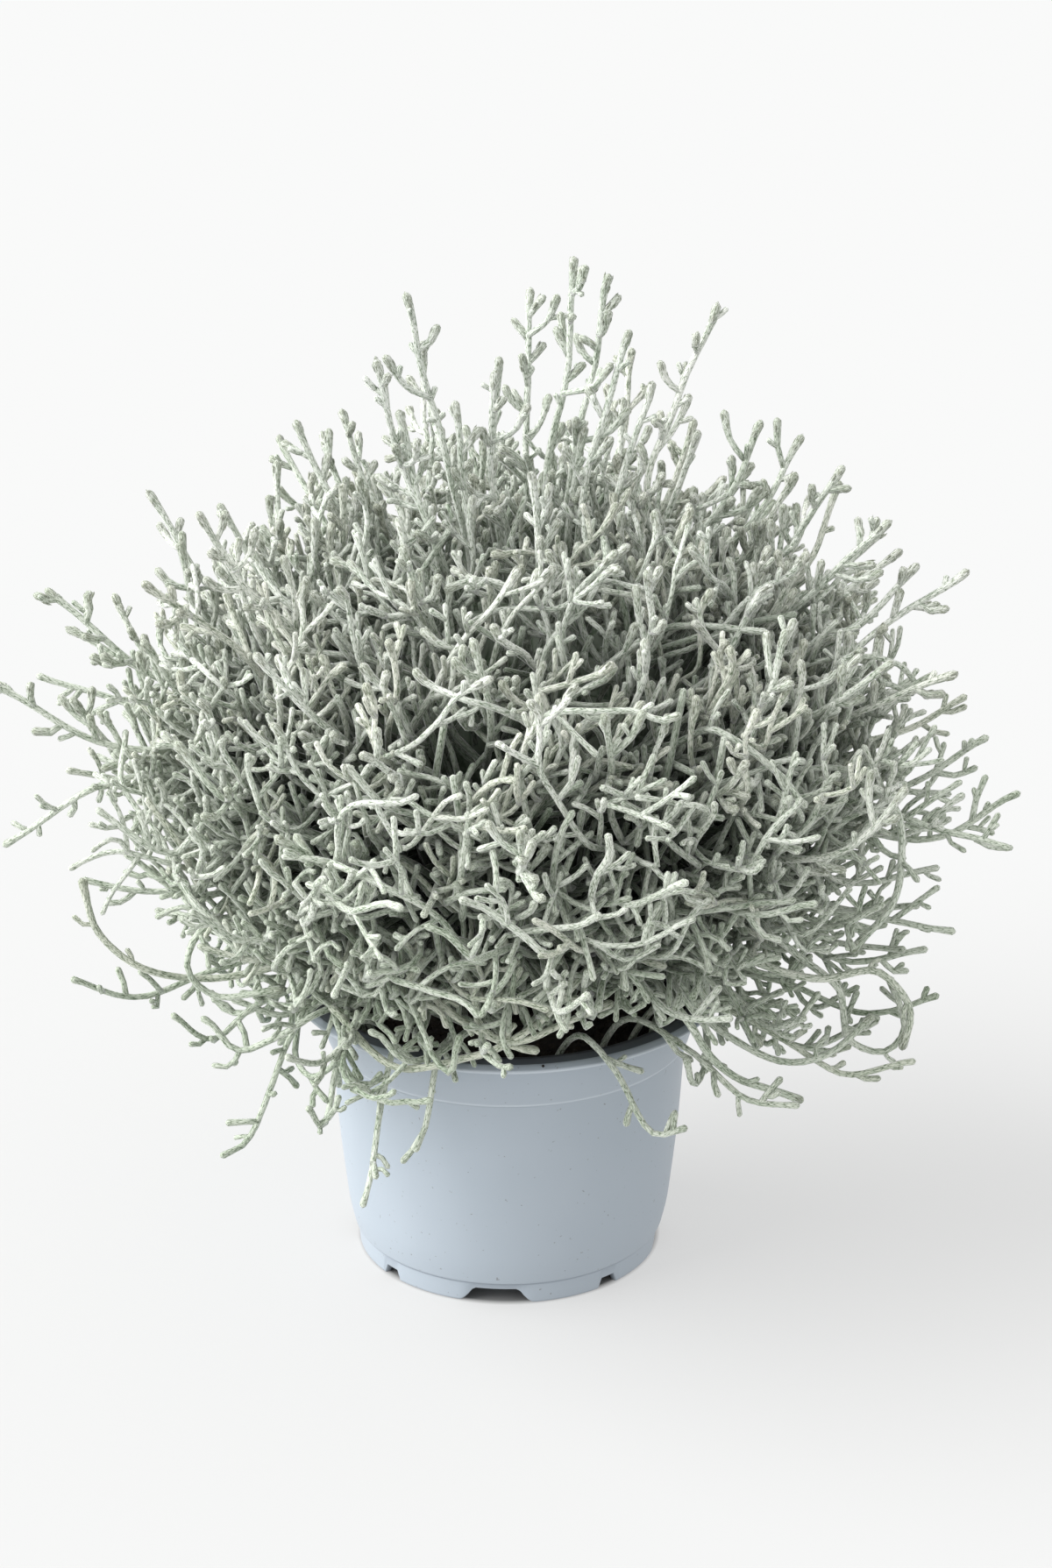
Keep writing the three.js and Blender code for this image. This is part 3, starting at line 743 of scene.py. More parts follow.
def dress(weave, path, random, tone, first, gap, longest, club=0, nubs=0.3):
    """Side twigs and buds of many lengths, by turns round a stem, from a share of its length on."""
    step = gap / RING_STEP
    place = max(1, len(path) * first) + random(0, step)
    turn = random(*ANY_TURN)
    while place < len(path) - 1.6:
        turn += GOLDEN_ANGLE + random(-0.7, 0.7)
        share = place / len(path)
        if random(0, 1) < nubs:
            grow_nub(weave, path, int(place), turn, random, tone)
        else:
            length = longest * random(0.45, 1) * (1.25 - 0.7 * share)
            forks = int(length / 9 + random(0, 0.6))
            grow_twig(weave, path, int(place), turn, random, tone, length, club, forks)
        place += step * random(0.6, 1.4)


def aside(out, random):
    """A direction square to another one, more often level than steep."""
    level = unit(np.cross(UP, out) + 1e-6)
    steep = np.cross(out, level)
    side = level * random(0.3, 1) * (1 if random(0, 1) < 0.5 else -1)
    return unit(side + steep * random(-0.6, 0.6))


def fill_shoot(index, random):
    """A shoot of the tangle: it comes from the plant's foot in a bow and turns up to the light."""
    place = spiral_place(index, FILL_SHOOTS, -0.88, 1.0)
    place = unit(place + any_vector(random, 0.1))
    z = place[2]
    high = clamp((z + 0.35) / 0.7)
    upper = max(0, z)
    reach = random(0.8, 1.04) - 0.04 * upper
    if index % 7 == 0:
        reach += random(0, 0.1)
    reach -= LOW_PULL * clamp((0.15 - z) / 0.5) * abs(place[0])
    end = in_head(place * reach)
    out = unit(end - PLANT_FOOT)
    across = aside(out, random)
    if random(0, 1) < STRAY_SHARE * (1 - 0.5 * clamp(z + 0.2)):
        start = PLANT_FOOT + (end - PLANT_FOOT) * random(0.5, 0.7) - across * random(14, 44)
        leave = unit(out + across * random(0.0, 0.8))
        arrive = unit(across + out * random(-0.1, 0.4) + UP * random(-0.5, 1.0))
    else:
        drop = random(0.15, 0.75) * clamp((z + 0.55) / 0.4)
        low_place = unit(place - UP * drop + across * random(-0.5, 0.5))
        start = in_head(low_place * random(0.4, 0.62))
        leave = unit(unit(start - PLANT_FOOT) * np.array([1, 1, 0.4]) + across * random(-0.7, 0.2))
        rise = random(0.4, 1.3) * high + random(-0.5, 1.0) * (1 - high)
        rise *= 1 - 0.1 * upper
        aslant = random(-0.5, 1.1) * (1 + 0.2 * upper)
        arrive = unit(out * random(0.05, 0.5) + UP * rise + across * aslant)
    length = np.linalg.norm(end - start)
    return bent(start, leave * length * 0.5, end, arrive * length * random(0.42, 0.68)), place


def slim_shoot(tip, random):
    """A slim shoot from inside the head to one of the tips."""
    end = np.array(tip, float)
    share = unit(head_share(end))
    share[2] -= 0.25
    start = in_head(unit(share) * 0.6)
    across = aside(unit(end - start), random)
    length = np.linalg.norm(end - start)
    leave = unit(end - start + across * length * random(-0.7, -0.2)) * length * 0.4
    arrive = unit(end - start + across * length * random(0.1, 0.4) + UP * length * 0.5) * length * 0.4
    return bent(start, leave, end, arrive)


def skirt_shoot(index, random):
    """A low shoot that leaves the plant's foot over the rim, runs round it, dips and curls up."""
    azimuth = SKIRT_FROM + index * SKIRT_SPAN / SKIRT_SHOOTS + random(-4, 4)
    swing = random(12, 52) * (1 if random(0, 1) < 0.5 else -1)
    reach = random(70, 94)
    dip = random(70, 88) + max(0, 74 - reach)
    out = reach - RIM_CROSSING_RADIUS
    return [
        polar(azimuth - swing * 0.3, random(26, 40), random(94, 106)),
        polar(azimuth + swing * 0.1, RIM_CROSSING_RADIUS, random(87, 95)),
        polar(azimuth + swing * 0.5, RIM_CROSSING_RADIUS + out * 0.6, dip + 5),
        polar(azimuth + swing * 0.8, RIM_CROSSING_RADIUS + out * 0.85, dip),
        polar(azimuth + swing, reach, dip + random(3, 14)),
    ]


def inner_shoot(index, random):
    """A plain stem that bows through the gaps under the outer growth."""
    place = spiral_place(index, INNER_SHOOTS, -0.85, 2.5)
    end = in_head(place * random(0.62, 0.9))
    out = unit(end - PLANT_FOOT)
    across = unit(np.cross(any_vector(random), out))
    start = PLANT_FOOT + (end - PLANT_FOOT) * random(0.35, 0.6) - across * random(0, 26)
    length = np.linalg.norm(end - start)
    leave = unit(out + across * random(-0.6, 0.9)) * length * 0.4
    arrive = unit(across * random(0.1, 1.0) + out * 0.4 + UP * random(-0.2, 0.8)) * length * 0.45
    return bent(start, leave, end, arrive)


def add_shade_core(weave):
    """A dark shell inside the head, behind the stems: painted shade that fills the gaps between them.
    """
    rings = 36
    sides = 56
    fall = np.linspace(0.03, math.pi - 0.03, rings)[:, None]
    turn = np.linspace(0, FULL_TURN, sides, endpoint=False)[None]
    share = np.stack([
        np.sin(fall) * np.cos(turn),
        np.sin(fall) * np.sin(turn),
        np.cos(fall) * np.ones_like(turn),
    ], -1)
    rough = np.sin(share[..., 0] * 19 + share[..., 1] * 13) * np.sin(share[..., 2] * 17 + 2)
    points = in_head(share * (CORE_REACH + 0.05 * rough)[..., None]).reshape(-1, 3)
    ends = in_head(np.array([[0, 0, CORE_REACH], [0, 0, -CORE_REACH]]))
    quads, triangles = ring_faces(rings, sides)
    points = np.vstack([points, ends])
    weave.add(points, quads[:, ::-1], triangles[:, ::-1], points * 0.1, weave.look_of(points, 0, 0))


def each_shoot(count, seed, weaves):
    """The number of each shoot, the weave that it goes into and its own random draws."""
    for index in range(count):
        yield index, weaves[index % BUSH_PIECES], make_random(seed + index)


def add_trunks(weave):
    for index in range(TRUNKS):
        path = evenly(trunk(index), RING_STEP)
        radii = np.linspace(TRUNK_RADIUS, TRUNK_RADIUS * 0.8, len(path))
        weave.tube(path, radii, 10, 0.05, 0.3, index * 50)


def add_solid_shoots(weaves):
    """The long shoots and the spread shoots, which the solid has too."""
    for index, weave, random in each_shoot(len(LONG_SHOOTS), LONG_SEED, weaves):
        corners, twigs = long_shoot(LONG_SHOOTS[index], index)
        grow_shoot(weave, corners, twigs, random, SHOOT_RADIUS, 0.3, 9, 13)
    for index, weave, random in each_shoot(SPREAD_SHOOTS, SPREAD_SEED, weaves):
        corners, twigs = spread_shoot(index)
        if clear_of_pot(np.array(corners)):
            grow_shoot(weave, corners, twigs, random, SHOOT_RADIUS, 0.35, 10, 13)


def add_fill(weaves):
    """The tangle. Its crown has shorter twigs, closer together, and clubs at the tips."""
    for index, weave, random in each_shoot(FILL_SHOOTS, FILL_SEED, weaves):
        corners, place = fill_shoot(index, random)
        z = place[2]
        thinned = z < THIN_BELOW and place[1] > -0.5 and index % 2
        if thinned or not clear_of_pot(smooth_curve(corners, np.linspace(0, 1, 12))):
            continue
        tone = random(0, 0.5) + 0.5 * clamp(z + 0.55)
        if index % WOOLLY_EVERY == 4:
            tone = 1.0
        crown = z > CROWN_FROM
        radius = STEM_RADIUS * random(0.68, 0.94) - 0.1 * max(0.0, z)
        path = grow(weave, corners, random, radius, 6, tone, 4 if crown else 0, FILL_SWAY)
        if crown:
            dress(weave, path, random, tone, 0.35, 10, 18, nubs=0.2)
        else:
            dress(weave, path, random, tone, 0.3, 15, 28, nubs=0.12)


def add_skirt(weaves):
    for index, weave, random in each_shoot(SKIRT_SHOOTS, SKIRT_SEED, weaves):
        corners = skirt_shoot(index, random)
        if clear_of_pot(smooth_curve(corners, np.linspace(0, 1, 20))):
            tone = random(0.0, 0.6)
            path = grow(weave, corners, random, STEM_RADIUS * random(0.74, 0.94), 6, tone, 0, 1.0)
            dress(weave, path, random, tone, 0.35, 16, 15)


def add_bows(weaves):
    """The bowed stems at the rim. The first ones are white with wool."""
    for index, weave, random in each_shoot(len(BOWS), BOW_SEED, weaves):
        tone = 1.0 if index < WOOLLY_BOWS else random(0.3, 1)
        path = grow(weave, BOWS[index], random, BOW_RADIUS * random(0.9, 1.08), 8, tone, 3, 0.4)
        dress(weave, path, random, tone, 0.4, 15, 11, nubs=0.4)


def add_slim_shoots(weaves):
    for index, weave, random in each_shoot(len(SLIM_SHOOTS), SLIM_SEED, weaves):
        tip = SLIM_SHOOTS[index]
        tone = random(0.4, 1)
        club = 4 if tip[2] > CLUBS_ABOVE else 0
        path = grow(weave, slim_shoot(tip, random), random, STEM_RADIUS * 0.85, 7, tone, club)
        dress(weave, path, random, tone, 0.35, 10, 14, club)


def add_inner_shoots(weaves):
    for index, weave, random in each_shoot(INNER_SHOOTS, INNER_SEED, weaves):
        corners = inner_shoot(index, random)
        if clear_of_pot(np.array(corners)):
            path = evenly(corners, INNER_RING_STEP)
            radii = np.full(len(path), random(0.8, 1.0))
            weave.tube(path, radii, 5, 0.02, random(0, 0.7), index * 9)


def make_bush(material):
    weaves = [Weave() for _ in range(BUSH_PIECES)]
    add_shade_core(weaves[0])
    add_trunks(weaves[0])
    add_solid_shoots(weaves)
    add_fill(weaves)
    add_skirt(weaves)
    add_bows(weaves)
    add_slim_shoots(weaves)
    add_inner_shoots(weaves)
    for index, weave in enumerate(weaves):
        place_stems(weave, f"bush_stems_{index + 1}", "bush", material)


def grow_shoot(weave, corners, twigs, random, radius, first, gap, longest):
    """A solid shoot's fine form: its stem, the twigs that the solid has, and smaller ones."""
    tone = random(0.25, 1)
    upright = upright_share(np.array(corners[-1]), unit(corners[-1] - corners[-2]))
    club = 5 if upright > 0.42 else 0
    path = grow(weave, corners, random, radius, 7, tone, club)
    for twig in twigs:
        line = grow(weave, twig, random, TWIG_RADIUS * 0.94, 6, tone, 3 if club else 0, 0.2)
        dress(weave, line, random, tone, 0.35, 7, 6)
    dress(weave, path, random, tone, first, gap, longest, 3 if club else 0)


def place_stems(weave, name, node, material):
    piece = weave.build(name, material)
    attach(piece, "root")
    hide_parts(node)


def make_trailing(material):
    for index, places in enumerate(TRAILING_SHOOTS):
        weave = Weave()
        corners, twigs = trailing_shoot(places, index)
        random = make_random(TRAIL_SEED + index)
        grow_shoot(weave, corners, twigs, random, TRAIL_RADIUS, 0.5, 15, 9)
        number = f"{index + 1:02d}"
        place_stems(weave, f"trailing_stem_{number}", f"trailing_shoot_{number}", material)


# Materials

class Shading:
    """A material that is put together node by node."""

    def __init__(self, name, roughness):
        self.material = bpy.data.materials.new(name)
        self.material.use_nodes = True
        self.nodes = self.material.node_tree.nodes
        self.link = self.material.node_tree.links.new
        self.shader = self.nodes["Principled BSDF"]
        self.set("Roughness", roughness)

    def put(self, socket, value):
        """Links another node's output to a socket, or gives the socket a value of its own."""
        if isinstance(value, bpy.types.NodeSocket):
            self.link(value, socket)
        else:
            socket.default_value = value

    def set(self, name, value):
        self.put(self.shader.inputs[name], value)

    def add(self, kind, values):
        """A new node with what its sockets get, each under its name or number."""
        node = self.nodes.new("ShaderNode" + kind)
        for name, value in values.items():
            self.put(node.inputs[name], value)
        return node

    def attribute(self, name):
        node = self.add("Attribute", {})
        node.attribute_name = name
        return node.outputs["Vector"]

    def place(self):
        return self.add("TexCoord", {}).outputs["Object"]

    def axes(self, vector):
        return self.add("SeparateXYZ", {"Vector": vector}).outputs

    def stretched(self, vector, scale):
        return self.add("Mapping", {"Vector": vector, "Scale": scale}).outputs["Vector"]

    def noise(self, vector, scale, detail, roughness=0.5):
        values = {"Vector": vector, "Scale": scale, "Detail": detail, "Roughness": roughness}
        return self.add("TexNoise", values).outputs["Fac"]

    def ramp(self, value, stops):
        """Colours for a value, from stops of a position and a colour."""
        node = self.add("ValToRGB", {"Fac": value})
        elements = node.color_ramp.elements
        while len(elements) < len(stops):
            elements.new(0.5)
        for element, (position, color) in zip(elements, stops):
            element.position = position
            element.color = (*color, 1)
        return node.outputs["Color"]

    def fade(self, value, *stops):
        """A grey for a value, from stops of a position and a brightness."""
        return self.ramp(value, [(position, (shade, shade, shade)) for position, shade in stops])

    def mix(self, factor, first, second, blend="MIX"):
        node = self.add("Mix", {})
        node.data_type = "RGBA"
        node.blend_type = blend
        for number, value in ((0, factor), (6, first), (7, second)):
            color = isinstance(value, tuple)
            self.put(node.inputs[number], (*value, 1) if color else value)
        return node.outputs[2]

    def bump(self, height, strength, distance):
        node = self.add("Bump", {"Height": height, "Strength": strength, "Distance": distance})
        self.set("Normal", node.outputs["Normal"])


def stem_material():
    """Scale leaves pressed along the stem, light with dark gaps between them, under white wool, with
    painted shade deep in the head and low down.
    """
    stem = Shading("woolly_stem", 0.88)
    stem.set("Sheen Weight", 0.8)
    stem.set("Sheen Roughness", 0.3)
    stem.set("Specular IOR Level", 0.25)
    bark = stem.attribute("bark")
    depth, own_tone, bud = stem.axes(stem.attribute("look"))
    leaves = stem.stretched(bark, (2.2, 2.2, 0.55))
    cells = stem.add("TexVoronoi", {"Vector": leaves, "Scale": 1.0, "Randomness": 0.85})
    cells.feature = "DISTANCE_TO_EDGE"
    streaks = stem.noise(stem.stretched(bark, (3.4, 3.4, 0.6)), 1.0, 3.0, 0.62)
    patches = stem.noise(stem.stretched(bark, (0.4, 0.4, 0.1)), 1.0, 2.0)
    raised = stem.add("Math", {0: cells.outputs["Distance"], 1: 1.1, 2: streaks})
    raised.operation = "MULTIPLY_ADD"
    relief = raised.outputs["Value"]
    wool = stem.ramp(relief, [(0.42, WOOL_FURROW), (0.60, WOOL_MIDDLE), (0.82, WOOL_TOP)])
    green = stem.ramp(relief, [(0.45, GREEN_FURROW), (0.64, GREEN_MIDDLE), (0.88, GREEN_TOP)])
    color = stem.mix(stem.fade(patches, (0.36, 0), (0.66, 0.85)), wool, green)
    color = stem.mix(1.0, color, stem.ramp(own_tone, STEM_TONES), "MULTIPLY")
    flecks = stem.fade(streaks, (0.4, 0.8), (0.6, 0.15))
    color = stem.mix(stem.mix(1.0, bud, flecks, "MULTIPLY"), color, BUD_OLIVE)
    height = stem.axes(stem.place())["Z"]
    # Painted shade: stems darker and a little greener low in the head.
    color = stem.mix(1.0, color, stem.ramp(height, HEIGHT_SHADE), "MULTIPLY")
    # Painted shade: stems deep in the head turn dark green, less so high up.
    depth_shade = stem.fade(depth, (0.12, 0), (0.62, 0.9))
    depth_shade = stem.mix(1.0, depth_shade, stem.fade(height, (0.15, 1), (0.22, 0.3)), "MULTIPLY")
    stem.set("Base Color", stem.mix(depth_shade, color, DEPTH_SHADE_GREEN))
    stem.bump(relief, 0.6, 0.00022)
    return stem.material


def pot_material():
    """Light blue-grey plastic, dark slate inside, with faint scuffs and a little soil dust, painted
    highlight lines on the lip and band, and painted shade at the foot's seam.
    """
    pot = Shading("pot_plastic", 0.46)
    place = pot.place()
    cloudy = pot.noise(place, 28.0, 3.0)
    color = pot.mix(pot.fade(cloudy, (0.35, 0), (0.75, 0.35)), POT_BLUE, POT_BLUE_WORN)
    specks = pot.noise(place, 900.0, 1.0)
    color = pot.mix(pot.fade(specks, (0.74, 0), (0.78, 0.5)), color, DUST)
    # Painted highlight lines on the lip and band.
    color = pot.mix(pot.attribute("edge_highlight"), color, POT_EDGE_HIGHLIGHT)
    # Painted shade line at the foot's seam.
    color = pot.mix(pot.attribute("seam"), color, POT_SEAM_SHADE)
    pot.set("Base Color", pot.mix(pot.attribute("inside"), color, POT_SLATE))
    pot.set("Roughness", pot.fade(cloudy, (0.3, 0.4), (0.7, 0.54)))
    grain = pot.noise(pot.stretched(place, (400, 400, 1400)), 1.0, 2.0)
    pot.bump(grain, 0.12, 0.00008)
    return pot.material


def soil_material():
    peat = Shading("peat", 0.95)
    crumbs = peat.noise(peat.place(), 420.0, 5.0, 0.7)
    peat.set("Base Color", peat.ramp(crumbs, PEAT))
    peat.bump(crumbs, 0.9, 0.0008)
    return peat.material


# Pot

def rounded(outline, points=4):
    """An outline of (radius, height, corner radius), with its corners rounded."""
    corners = [np.array(place[:2], float) for place in outline]
    result = [corners[0]]
    for i in range(1, len(outline) - 1):
        before = corners[i - 1] - corners[i]
        after = corners[i + 1] - corners[i]
        size = min(outline[i][2], 0.45 * np.linalg.norm(before), 0.45 * np.linalg.norm(after))
        if size <= 0:
            result.append(corners[i])
            continue
        start = corners[i] + unit(before) * size
        end = corners[i] + unit(after) * size
        for t in np.linspace(0, 1, points):
            bend = start * (1 - t) ** 2 + corners[i] * 2 * t * (1 - t) + end * t * t
            result.append(bend)
    result.append(corners[-1])
    return np.array(result)


POT_OUTSIDE = [
    (0.0, FLOOR_UNDERSIDE, 0),
    (20.0, FLOOR_UNDERSIDE, 0),
    (FOOT_RADIUS - FOOT_RING_WIDTH - 0.4, FLOOR_UNDERSIDE, 0.5),
    (FOOT_RADIUS - FOOT_RING_WIDTH, 0.0, 0.5),
    (FOOT_RADIUS - 0.1, 0.0, 0.7),
    (FOOT_TOP[0] - 0.3, FOOT_TOP[1] - 0.2, 0.3),
    (FOOT_TOP[0] + 0.5, FOOT_TOP[1] + 0.5, 0.5),
    (*WALL_FOOT, 6),
    (*WALL_MIDDLE, 11),
    (CREASE[0], CREASE[1] - 0.1, 0.3),
    (BAND_FOOT[0] - 0.1, BAND_FOOT[1] - 0.2, 0.4),
    (BAND_FOOT[0] + 0.1, BAND_FOOT[1] + 0.6, 0.1),
    (*BAND_TOP, 0.5),
    (BAND_TOP[0] + 1.2, LIP_EDGE_Z - 0.9, 1.2),
    (LIP_RADIUS - 0.5, LIP_EDGE_Z - 0.3, 0.4),
    (LIP_RADIUS, LIP_EDGE_Z + 0.3, 0.4),
    (LIP_RADIUS - 0.1, LIP_EDGE_Z + 0.9, 0.3),
    (LIP_RADIUS - 1.2, LIP_EDGE_Z + 1.7, 0.6),
]
POT_INSIDE = [
    (LIP_RADIUS - 2.0, LIP_EDGE_Z + 1.9, 0.3),
    (LIP_RADIUS - 3.6, POT_HEIGHT - 0.2, 0.8),
    (BAND_TOP[0] + 0.8, POT_HEIGHT, 0.8),
    (BAND_TOP[0] - 1.1, POT_HEIGHT - 1.6, 0.9),
    (BAND_TOP[0] - 1.3, BAND_TOP[1] + 0.6, 0.8),
    (BAND_FOOT[0] - POT_WALL, BAND_FOOT[1] + 0.5, 0.5),
    (CREASE[0] - POT_WALL, CREASE[1] + 0.1, 0.4),
    (WALL_MIDDLE[0] - POT_WALL, WALL_MIDDLE[1], 11),
    (WALL_FOOT[0] - POT_WALL, WALL_FOOT[1] + 0.3, 6),
    (FOOT_TOP[0] - POT_WALL - 2, FLOOR_TOP, 1),
    (20.0, FLOOR_TOP, 0),
    (0.0, FLOOR_TOP, 0),
]


def notch_height(azimuth):
    """How high the foot ring's lower edge lies at an azimuth."""
    height = np.zeros_like(azimuth)
    for i in range(NOTCHES):
        bottom, top, rise = WIDE_NOTCH if i % 2 == 0 else NARROW_NOTCH
        middle = FIRST_NOTCH_AZIMUTH + i * 360 / NOTCHES
        away = np.abs((azimuth - middle + 180) % 360 - 180)
        across = np.radians(away) * FOOT_RADIUS
        share = np.clip((bottom / 2 - across) / (bottom / 2 - top / 2), 0, 1)
        height = np.maximum(height, rise * share**1.6)
    return height


def turned(profile, sides):
    """A body turned round the Z axis. Its profile starts and ends on the axis."""
    ring = profile[1:-1]
    angle = np.radians(np.arange(sides) * 360 / sides)
    points = np.empty((len(ring), sides, 3))
    points[..., 0] = ring[:, :1] * np.cos(angle)
    points[..., 1] = ring[:, :1] * np.sin(angle)
    points[..., 2] = ring[:, 1:]
    quads, triangles = ring_faces(len(ring), sides)
    ends = np.array([[0, 0, profile[0][1]], [0, 0, profile[-1][1]]])
    return points, ends, quads, triangles


def cut(piece, cutter):
    modifier = piece.modifiers.new("cut", "BOOLEAN")
    modifier.operation = "DIFFERENCE"
    modifier.solver = "EXACT"
    modifier.object = cutter
    bpy.context.view_layer.objects.active = piece
    bpy.ops.object.modifier_apply(modifier=modifier.name)
    bpy.data.objects.remove(cutter)


def pot_look(points):
    """For the material: the dark inside with a painted highlight on the lip's top, the painted
    highlight lines on the lip and band, and the painted shade at the foot's seam.
    """
    radius = np.hypot(points[:, 0], points[:, 1])
    z = points[:, 2]
    outline = np.array([place[:2] for place in POT_OUTSIDE[4:]])
    wall = np.interp(z, outline[:, 1], outline[:, 0])
    inside = (radius < wall - 0.65) & (z > FLOOR_UNDERSIDE + 0.7)
    # The outer part of the lip's top is less dark: a painted highlight where it faces the light.
    inside = inside * np.where(radius > LIP_RADIUS - 4.5, 0.8, 1.0)

    def line(height, width, least):
        return np.clip(1 - np.abs(z - height) / width, 0, 1) * (radius > least)

    # Painted highlight lines along the lip's rounded edge and the band's foot.
    lip = line(LIP_EDGE_Z + 0.3, 0.7, LIP_RADIUS - 0.6)
    band = line(BAND_FOOT[1], 0.5, BAND_FOOT[0] - 0.4)
    # Painted shade along the groove at the foot's seam.
    seam = line(FOOT_TOP[1], 0.5, FOOT_RADIUS)
    return {"inside": inside, "edge_highlight": np.maximum(lip, band), "seam": seam}


def drain_cutter():
    """Upright cylinders through the pot's floor."""
    sides = 24
    angle = FULL_TURN * np.arange(sides) / sides
    points = []
    faces = []
    for i in range(DRAIN_HOLES):
        middle = polar(360 / DRAIN_HOLES * i, DRAIN_RING_RADIUS, 0)
        for z in (FLOOR_UNDERSIDE - 1, FLOOR_TOP + 1):
            for turn in angle:
                points.append(middle + polar(math.degrees(turn), DRAIN_HOLE_RADIUS, z))
        first = 2 * sides * i
        faces.append([first + k for k in range(sides)][::-1])
        faces.append([first + sides + k for k in range(sides)])
        for k in range(sides):
            after = (k + 1) % sides
            faces.append([first + k, first + after, first + sides + after, first + sides + k])
    mesh = bpy.data.meshes.new("drain_cutter")
    mesh.from_pydata((np.array(points) * MM).tolist(), [], faces)
    return add_object("drain_cutter", mesh)


def make_pot(material):
    outside = rounded(POT_OUTSIDE + POT_INSIDE[:1])[:-1]
    inside = rounded(POT_OUTSIDE[-1:] + POT_INSIDE)[1:]
    profile = np.vstack([outside, inside])
    points, ends, quads, triangles = turned(profile, POT_SIDES)
    notch = notch_height(np.arange(POT_SIDES) * 360 / POT_SIDES)
    z = points[..., 2]
    seam = FOOT_TOP[1] - 0.1
    foot = (z < seam) & (np.hypot(points[..., 0], points[..., 1]) > FOOT_RADIUS - 3)
    foot &= np.arange(len(z))[:, None] < len(outside)
    points[..., 2] = np.where(foot, z + notch[None] * (1 - z / seam), z)
    points = np.vstack([points.reshape(-1, 3), ends])
    mesh = bpy.data.meshes.new("pot_shell")
    mesh.from_pydata((points * MM).tolist(), [], quads.tolist() + triangles.tolist())
    mesh.shade_smooth()
    pot = add_object("pot_shell", mesh, material)
    cut(pot, drain_cutter())
    places = np.empty(len(pot.data.vertices) * 3)
    pot.data.vertices.foreach_get("co", places)
    for title, values in pot_look(places.reshape(-1, 3) / MM).items():
        pot.data.attributes.new(title, "FLOAT", "POINT").data.foreach_set("value", values)
    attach(pot, "root")
    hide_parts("pot")


# Soil

def make_soil(material):
    top = [(SOIL_RADIUS * s, SOIL_TOP - 1.2 * s**6) for s in np.linspace(1, 0, 26)]
    under = FLOOR_TOP + 0.4
    wall = [(0.0, under), (37.0, under), *SOIL_WALL]
    points, ends, quads, triangles = turned(np.array(wall + top), SOIL_SIDES)
    height = np.zeros(points.shape[:2])
    random = make_random(SOIL_SEED)
    for period in SOIL_WAVES:
        turn = random(*ANY_TURN)
        k = FULL_TURN / period
        x = points[..., 0] * math.cos(turn) + points[..., 1] * math.sin(turn)
        y = points[..., 1] * math.cos(turn) - points[..., 0] * math.sin(turn)
        height += 0.045 * period * np.sin(k * x + 1.7 * np.sin(k * 0.6 * y)) * np.cos(k * y + turn)
    rise = points[..., 2] > SOIL_TOP - 2
    points[..., 2] = np.where(rise, points[..., 2] + height * 0.8, points[..., 2])
    soil = Weave()
    points = np.vstack([points.reshape(-1, 3), ends])
    soil.add(points, quads, triangles, points, soil.look_of(points, 0, 0))
    for index in range(SOIL_CRUMBS):
        crumb = make_random(CRUMB_SEED + index)
        radius = SOIL_RADIUS * math.sqrt(crumb(0, 0.96))
        place = polar(crumb(0, 360), radius, SOIL_TOP + crumb(-0.2, 1.2))
        size = crumb(0.5, 1.7)
        along = unit(np.array([crumb(-1, 1), crumb(-1, 1), crumb(-0.6, 0.6)]))
        path = np.stack([place + along * size * (t - 0.5) for t in (0, 0.35, 0.75, 1)])
        radii = size * np.array([crumb(0.2, 0.4), crumb(0.4, 0.6), crumb(0.35, 0.6), crumb(0.15, 0.3)])
        soil.tube(path, radii, 5, 0.15, 0, 0)
    for azimuth, radius, z in LIP_SPECKS:
        place = polar(azimuth, radius, z)
        path = np.stack([place + UP * rise for rise in (-0.3, 0.0, 0.3)])
        soil.tube(path, np.array([0.25, 0.42, 0.25]), 6, 0.1, 0, 0)
    piece = soil.build("soil_peat", material, smooth=False)
    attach(piece, "root")
    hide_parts("soil")


# Camera, floor and light

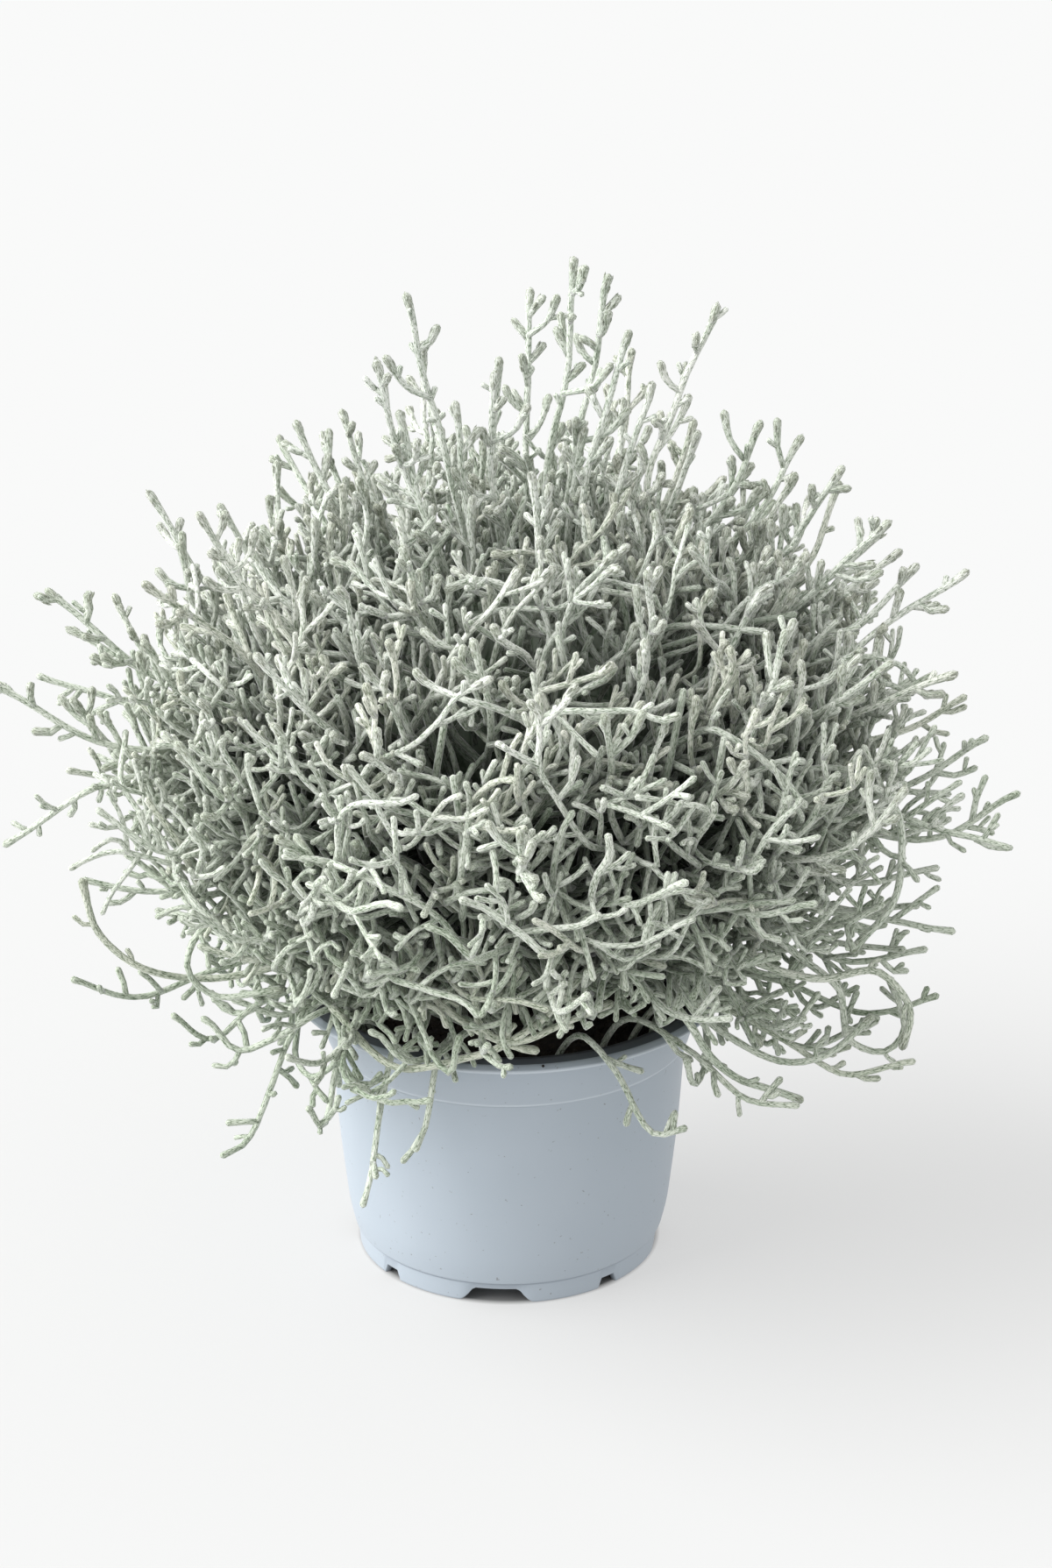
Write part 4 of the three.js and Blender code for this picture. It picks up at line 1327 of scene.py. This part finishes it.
def set_camera():
    data = bpy.data.cameras.new("camera")
    data.sensor_fit = "AUTO"
    data.sensor_width = SENSOR
    data.lens = FOCAL_PIXELS * SENSOR / PHOTO_LONG_SIDE
    data.clip_start = 0.05
    data.clip_end = 50
    data.dof.use_dof = False
    camera = add_object("camera", data)
    camera.location = Vector(CAMERA_PLACE) * MM
    camera.rotation_euler = (math.radians(90 - CAMERA_DOWN), 0, 0)
    bpy.context.scene.camera = camera


def make_floor():
    mesh = bpy.data.meshes.new("floor")
    reach = FLOOR_REACH
    corners = [(-reach, -reach, 0), (reach, -reach, 0), (reach, reach, 0), (-reach, reach, 0)]
    mesh.from_pydata(corners, [], [(0, 1, 2, 3)])
    paper = Shading("paper", 0.9)
    paper.set("Base Color", (*FLOOR_COLOR, 1))
    paper.set("Emission Color", (1, 1, 1, 1))
    paper.set("Specular IOR Level", 0.0)
    away = paper.add("VectorMath", {0: paper.place()})
    away.operation = "LENGTH"
    # No glow under the pot, which leaves a painted contact shadow there; the glow beside it is painted
    # light.
    start, full = GLOW_FROM
    glow = {"Value": away.outputs["Value"], "From Min": start, "From Max": full, "To Max": FLOOR_GLOW}
    paper.set("Emission Strength", paper.add("MapRange", glow).outputs["Result"])
    floor = add_object("floor", mesh, paper.material)
    floor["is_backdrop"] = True


def make_light():
    """Even light from all round, and one broad soft light from the upper left."""
    scene = bpy.context.scene
    world = bpy.data.worlds.new("studio")
    world.use_nodes = True
    sky = world.node_tree.nodes["Background"]
    sky.inputs["Color"].default_value = (1, 1, 1, 1)
    sky.inputs["Strength"].default_value = SKY_STRENGTH
    scene.world = world
    data = bpy.data.lights.new("window", "SUN")
    data.energy = SUN_STRENGTH
    data.angle = math.radians(SUN_SPREAD)
    light = add_object("window", data)
    light.rotation_euler = Vector(SUN_FROM).to_track_quat("Z", "Y").to_euler()
    scene.view_settings.view_transform = "Standard"


set_camera()
make_floor()
make_light()
make_pot(pot_material())
make_soil(soil_material())
stem_look = stem_material()
make_bush(stem_look)
make_trailing(stem_look)

boxes = {"cad": cad_box, "visual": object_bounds()}
{name: [list(corner) for corner in box] for name, box in boxes.items()}
